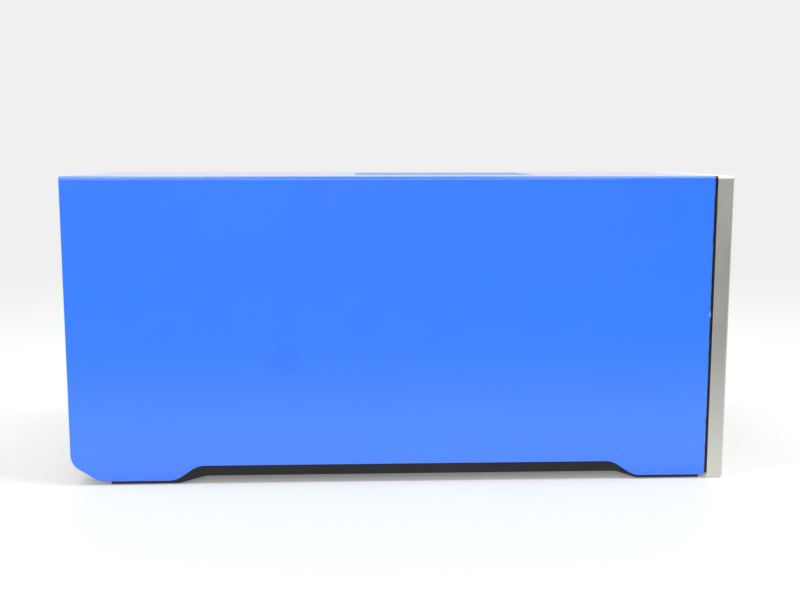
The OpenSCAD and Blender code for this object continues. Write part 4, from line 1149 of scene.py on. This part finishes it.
def mix_shaders(tree, fac, a, b):
    """Shader a where fac is 0, and b where it is 1."""
    made = tree.nodes.new("ShaderNodeMixShader")
    tree.links.new(fac, made.inputs[0])
    tree.links.new(a, made.inputs[1])
    tree.links.new(b, made.inputs[2])
    return made.outputs[0]


def floor_paint():
    """A pale table top that fades out into the background. In reflections it goes dark in front instead."""
    p = Paint("floor", (0.96, 0.96, 0.955), 0.5, specular=0.3)
    p.colour_from(p.mix(p.span(p.noise(5.0, 3.0), 0.3, 0.7), tint(p.color, 0.985), p.color))
    p.relief(p.noise(300.0, 2.0), 0.00004)
    reach = p.node("ShaderNodeVectorMath", Vector=p.place)
    reach.operation = "LENGTH"
    _, y, _ = p.axes()
    camera, glossy = ray_kinds(p.tree)
    seen = p.maths("MAXIMUM", camera, glossy)
    far = p.span(reach.outputs["Value"], *FLOOR_FADE)
    in_front = p.maths("MULTIPLY", p.span(p.maths("MULTIPLY", y, -1.0), *TABLE_EDGE), glossy)
    glossy_lift = p.maths("MULTIPLY", glossy, GLOSSY_TABLE_LIFT)
    lift = p.maths("ADD", p.maths("MULTIPLY", camera, TABLE_LIFT), glossy_lift)
    surface = mix_shaders(p.tree, lift, p.shader.outputs[0], glow(p.tree, 1.0))
    surface = mix_shaders(p.tree, p.maths("MULTIPLY", far, seen), surface, glow(p.tree, BACKGROUND))
    surface = mix_shaders(p.tree, in_front, surface, glow(p.tree, DARK_SIDE))
    p.tree.links.new(surface, p.tree.nodes["Material Output"].inputs["Surface"])
    return p.material


def make_stage():
    """The table top, which reaches far beyond the view."""
    mesh = bpy.data.meshes.new("floor")
    corners = [(-1, -1), (1, -1), (1, 1), (-1, 1)]
    mesh.from_pydata([(x * TABLE_HALF, y * TABLE_HALF, 0) for x, y in corners], [], [(0, 1, 2, 3)])
    mesh.materials.append(floor_paint())
    o = bpy.data.objects.new("floor", mesh)
    bpy.context.scene.collection.objects.link(o)
    o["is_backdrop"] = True


def make_world():
    """A pale studio whose side behind the camera is darker in reflections, as a room is."""
    world = bpy.data.worlds.new("studio")
    bpy.context.scene.world = world
    world.use_nodes = True
    tree = world.node_tree
    room = tree.nodes["Background"]
    room.inputs["Color"].default_value = ROOM_LIGHT
    aim = tree.nodes.new("ShaderNodeTexCoord")
    split = tree.nodes.new("ShaderNodeSeparateXYZ")
    tree.links.new(aim.outputs["Generated"], split.inputs[0])
    front = tree.nodes.new("ShaderNodeMapRange")
    front.inputs["From Min"].default_value = SIDE_TURN[0]
    front.inputs["From Max"].default_value = SIDE_TURN[1]
    tree.links.new(split.outputs["Y"], front.inputs["Value"])
    camera, glossy = ray_kinds(tree)
    reflected = mix_shaders(tree, front.outputs["Result"], glow(tree, BACKGROUND), glow(tree, DARK_SIDE))
    surface = mix_shaders(tree, glossy, room.outputs[0], reflected)
    surface = mix_shaders(tree, camera, surface, glow(tree, BACKGROUND))
    tree.links.new(surface, tree.nodes["World Output"].inputs[0])


def make_lights():
    """Four softboxes, and a low glow for what a strongly lit table throws back up."""
    middle = (0, 0, 0.1)
    for name, place, aim_at, size, power in [
        ("left_softbox", (-0.75, -0.35, 1.75), middle, (0.55, 1.1), 11.5),
        ("right_softbox", (0.8, -0.35, 1.75), middle, (0.55, 1.1), 11.5),
        ("front_softbox", (-0.3, -2.3, 1.05), middle, (2.2, 1.0), 22.0),
        ("back_softbox", (0.3, 2.1, 1.6), middle, (2.2, 1.0), 13.0),
        ("table_bounce", (0.0, -0.24, 0.003), (0.0, -0.24, 1.0), (1.0, 0.26), 0.5),
    ]:
        data = bpy.data.lights.new(name, "AREA")
        data.shape = "RECTANGLE"
        data.size, data.size_y = size
        data.energy = power
        lamp = bpy.data.objects.new(name, data)
        lamp.location = place
        lamp.rotation_euler = (Vector(aim_at) - Vector(place)).to_track_quat("-Z", "Y").to_euler()
        lamp.visible_camera = False
        lamp.visible_glossy = name != "table_bounce"
        bpy.context.scene.collection.objects.link(lamp)


make_stage()
make_world()
make_lights()
bpy.context.scene.view_settings.view_transform = "Standard"

# ---- Measurements of what was made ----


def shown_places():
    """The finished vertices of every shown piece, in the row frame."""
    graph = bpy.context.evaluated_depsgraph_get()
    places = []
    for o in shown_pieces():
        done = o.evaluated_get(graph)
        mesh = done.to_mesh()
        places += [o.matrix_world @ v.co for v in mesh.vertices]
        done.to_mesh_clear()
    return places


# Where the features' own vertices are looked for: how far in from the bezel's near side, how far up and how
# far from the cover's ends for the arch, and how far from the top's middle line and ends for the slots.
BEZEL_SIDE = 0.001
ARCH_HIGHEST = 0.02
ARCH_FROM_END = 0.06
SLOTS_FROM_MIDDLE = 0.07
SLOTS_FROM_END = 0.01


def feature_places():
    """Where each named feature lies on the finished model."""
    low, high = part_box("cover")
    bezel_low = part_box("bezel")[0]
    bezel_back = min(v.co.x for v in NODES["bezel"].data.vertices if v.co.y < bezel_low.y + BEZEL_SIDE)
    near = [v.co for v in NODES["cover"].data.vertices if abs(v.co.y - low.y) < SAME_PLANE]
    between_legs = [v for v in near if low.x + ARCH_FROM_END < v.x < high.x - ARCH_FROM_END]
    arch_z = max(v.z for v in between_legs if v.z < low.z + ARCH_HIGHEST)
    arch = [v.x for v in near if abs(v.z - arch_z) < SAME_PLANE]
    top = [v.co for v in NODES["cover"].data.vertices if abs(v.co.z - high.z) < SAME_PLANE]
    slots = [v for v in top if abs(v.y) < SLOTS_FROM_MIDDLE
             and low.x + SLOTS_FROM_END < v.x < high.x - SLOTS_FROM_END]
    return {
        "panel_back_top": Vector((low.x, low.y, high.z)),
        "panel_front_top": Vector((high.x, low.y, high.z)),
        "panel_front_bottom": Vector((high.x, low.y, low.z)),
        "panel_back_bottom": Vector((low.x, low.y, low.z)),
        "arch_back_end": Vector((min(arch), low.y, arch_z)),
        "arch_front_end": Vector((max(arch), low.y, arch_z)),
        "bezel_back_bottom": Vector((bezel_back, bezel_low.y, bezel_low.z)),
        "slots_back": Vector((min(v.x for v in slots), 0, high.z)),
        "slots_front": Vector((max(v.x for v in slots), 0, high.z)),
        "paint_chip": place_on(COVER_TREE, *IMAGE_POINTS["paint_chip"]),
        "smudge": place_on(COVER_TREE, *IMAGE_POINTS["smudge"]),
    }


def measure_points():
    """How far each edge and feature lies from its place in the photograph, in pixels."""
    seen = [image_place(p) for p in shown_places()]
    xs = [s[0] for s in seen]
    ys = [s[1] for s in seen]
    got = {"left": min(xs), "right": max(xs), "top": min(ys), "bottom": max(ys)}
    report = {}
    for name, want in IMAGE_EDGES.items():
        axis = "dx" if name in ("left", "right") else "dy"
        report[name] = {axis: round(got[name] - want, 2)}
    for name, place in feature_places().items():
        x, y = image_place(place)
        report[name] = {"dx": round(x - IMAGE_POINTS[name][0], 2), "dy": round(y - IMAGE_POINTS[name][1], 2)}
    return report


def write_numbers():
    """Measures how far the edges and features lie from their places in the photograph, and keeps nothing."""
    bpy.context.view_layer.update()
    measure_points()


write_numbers()
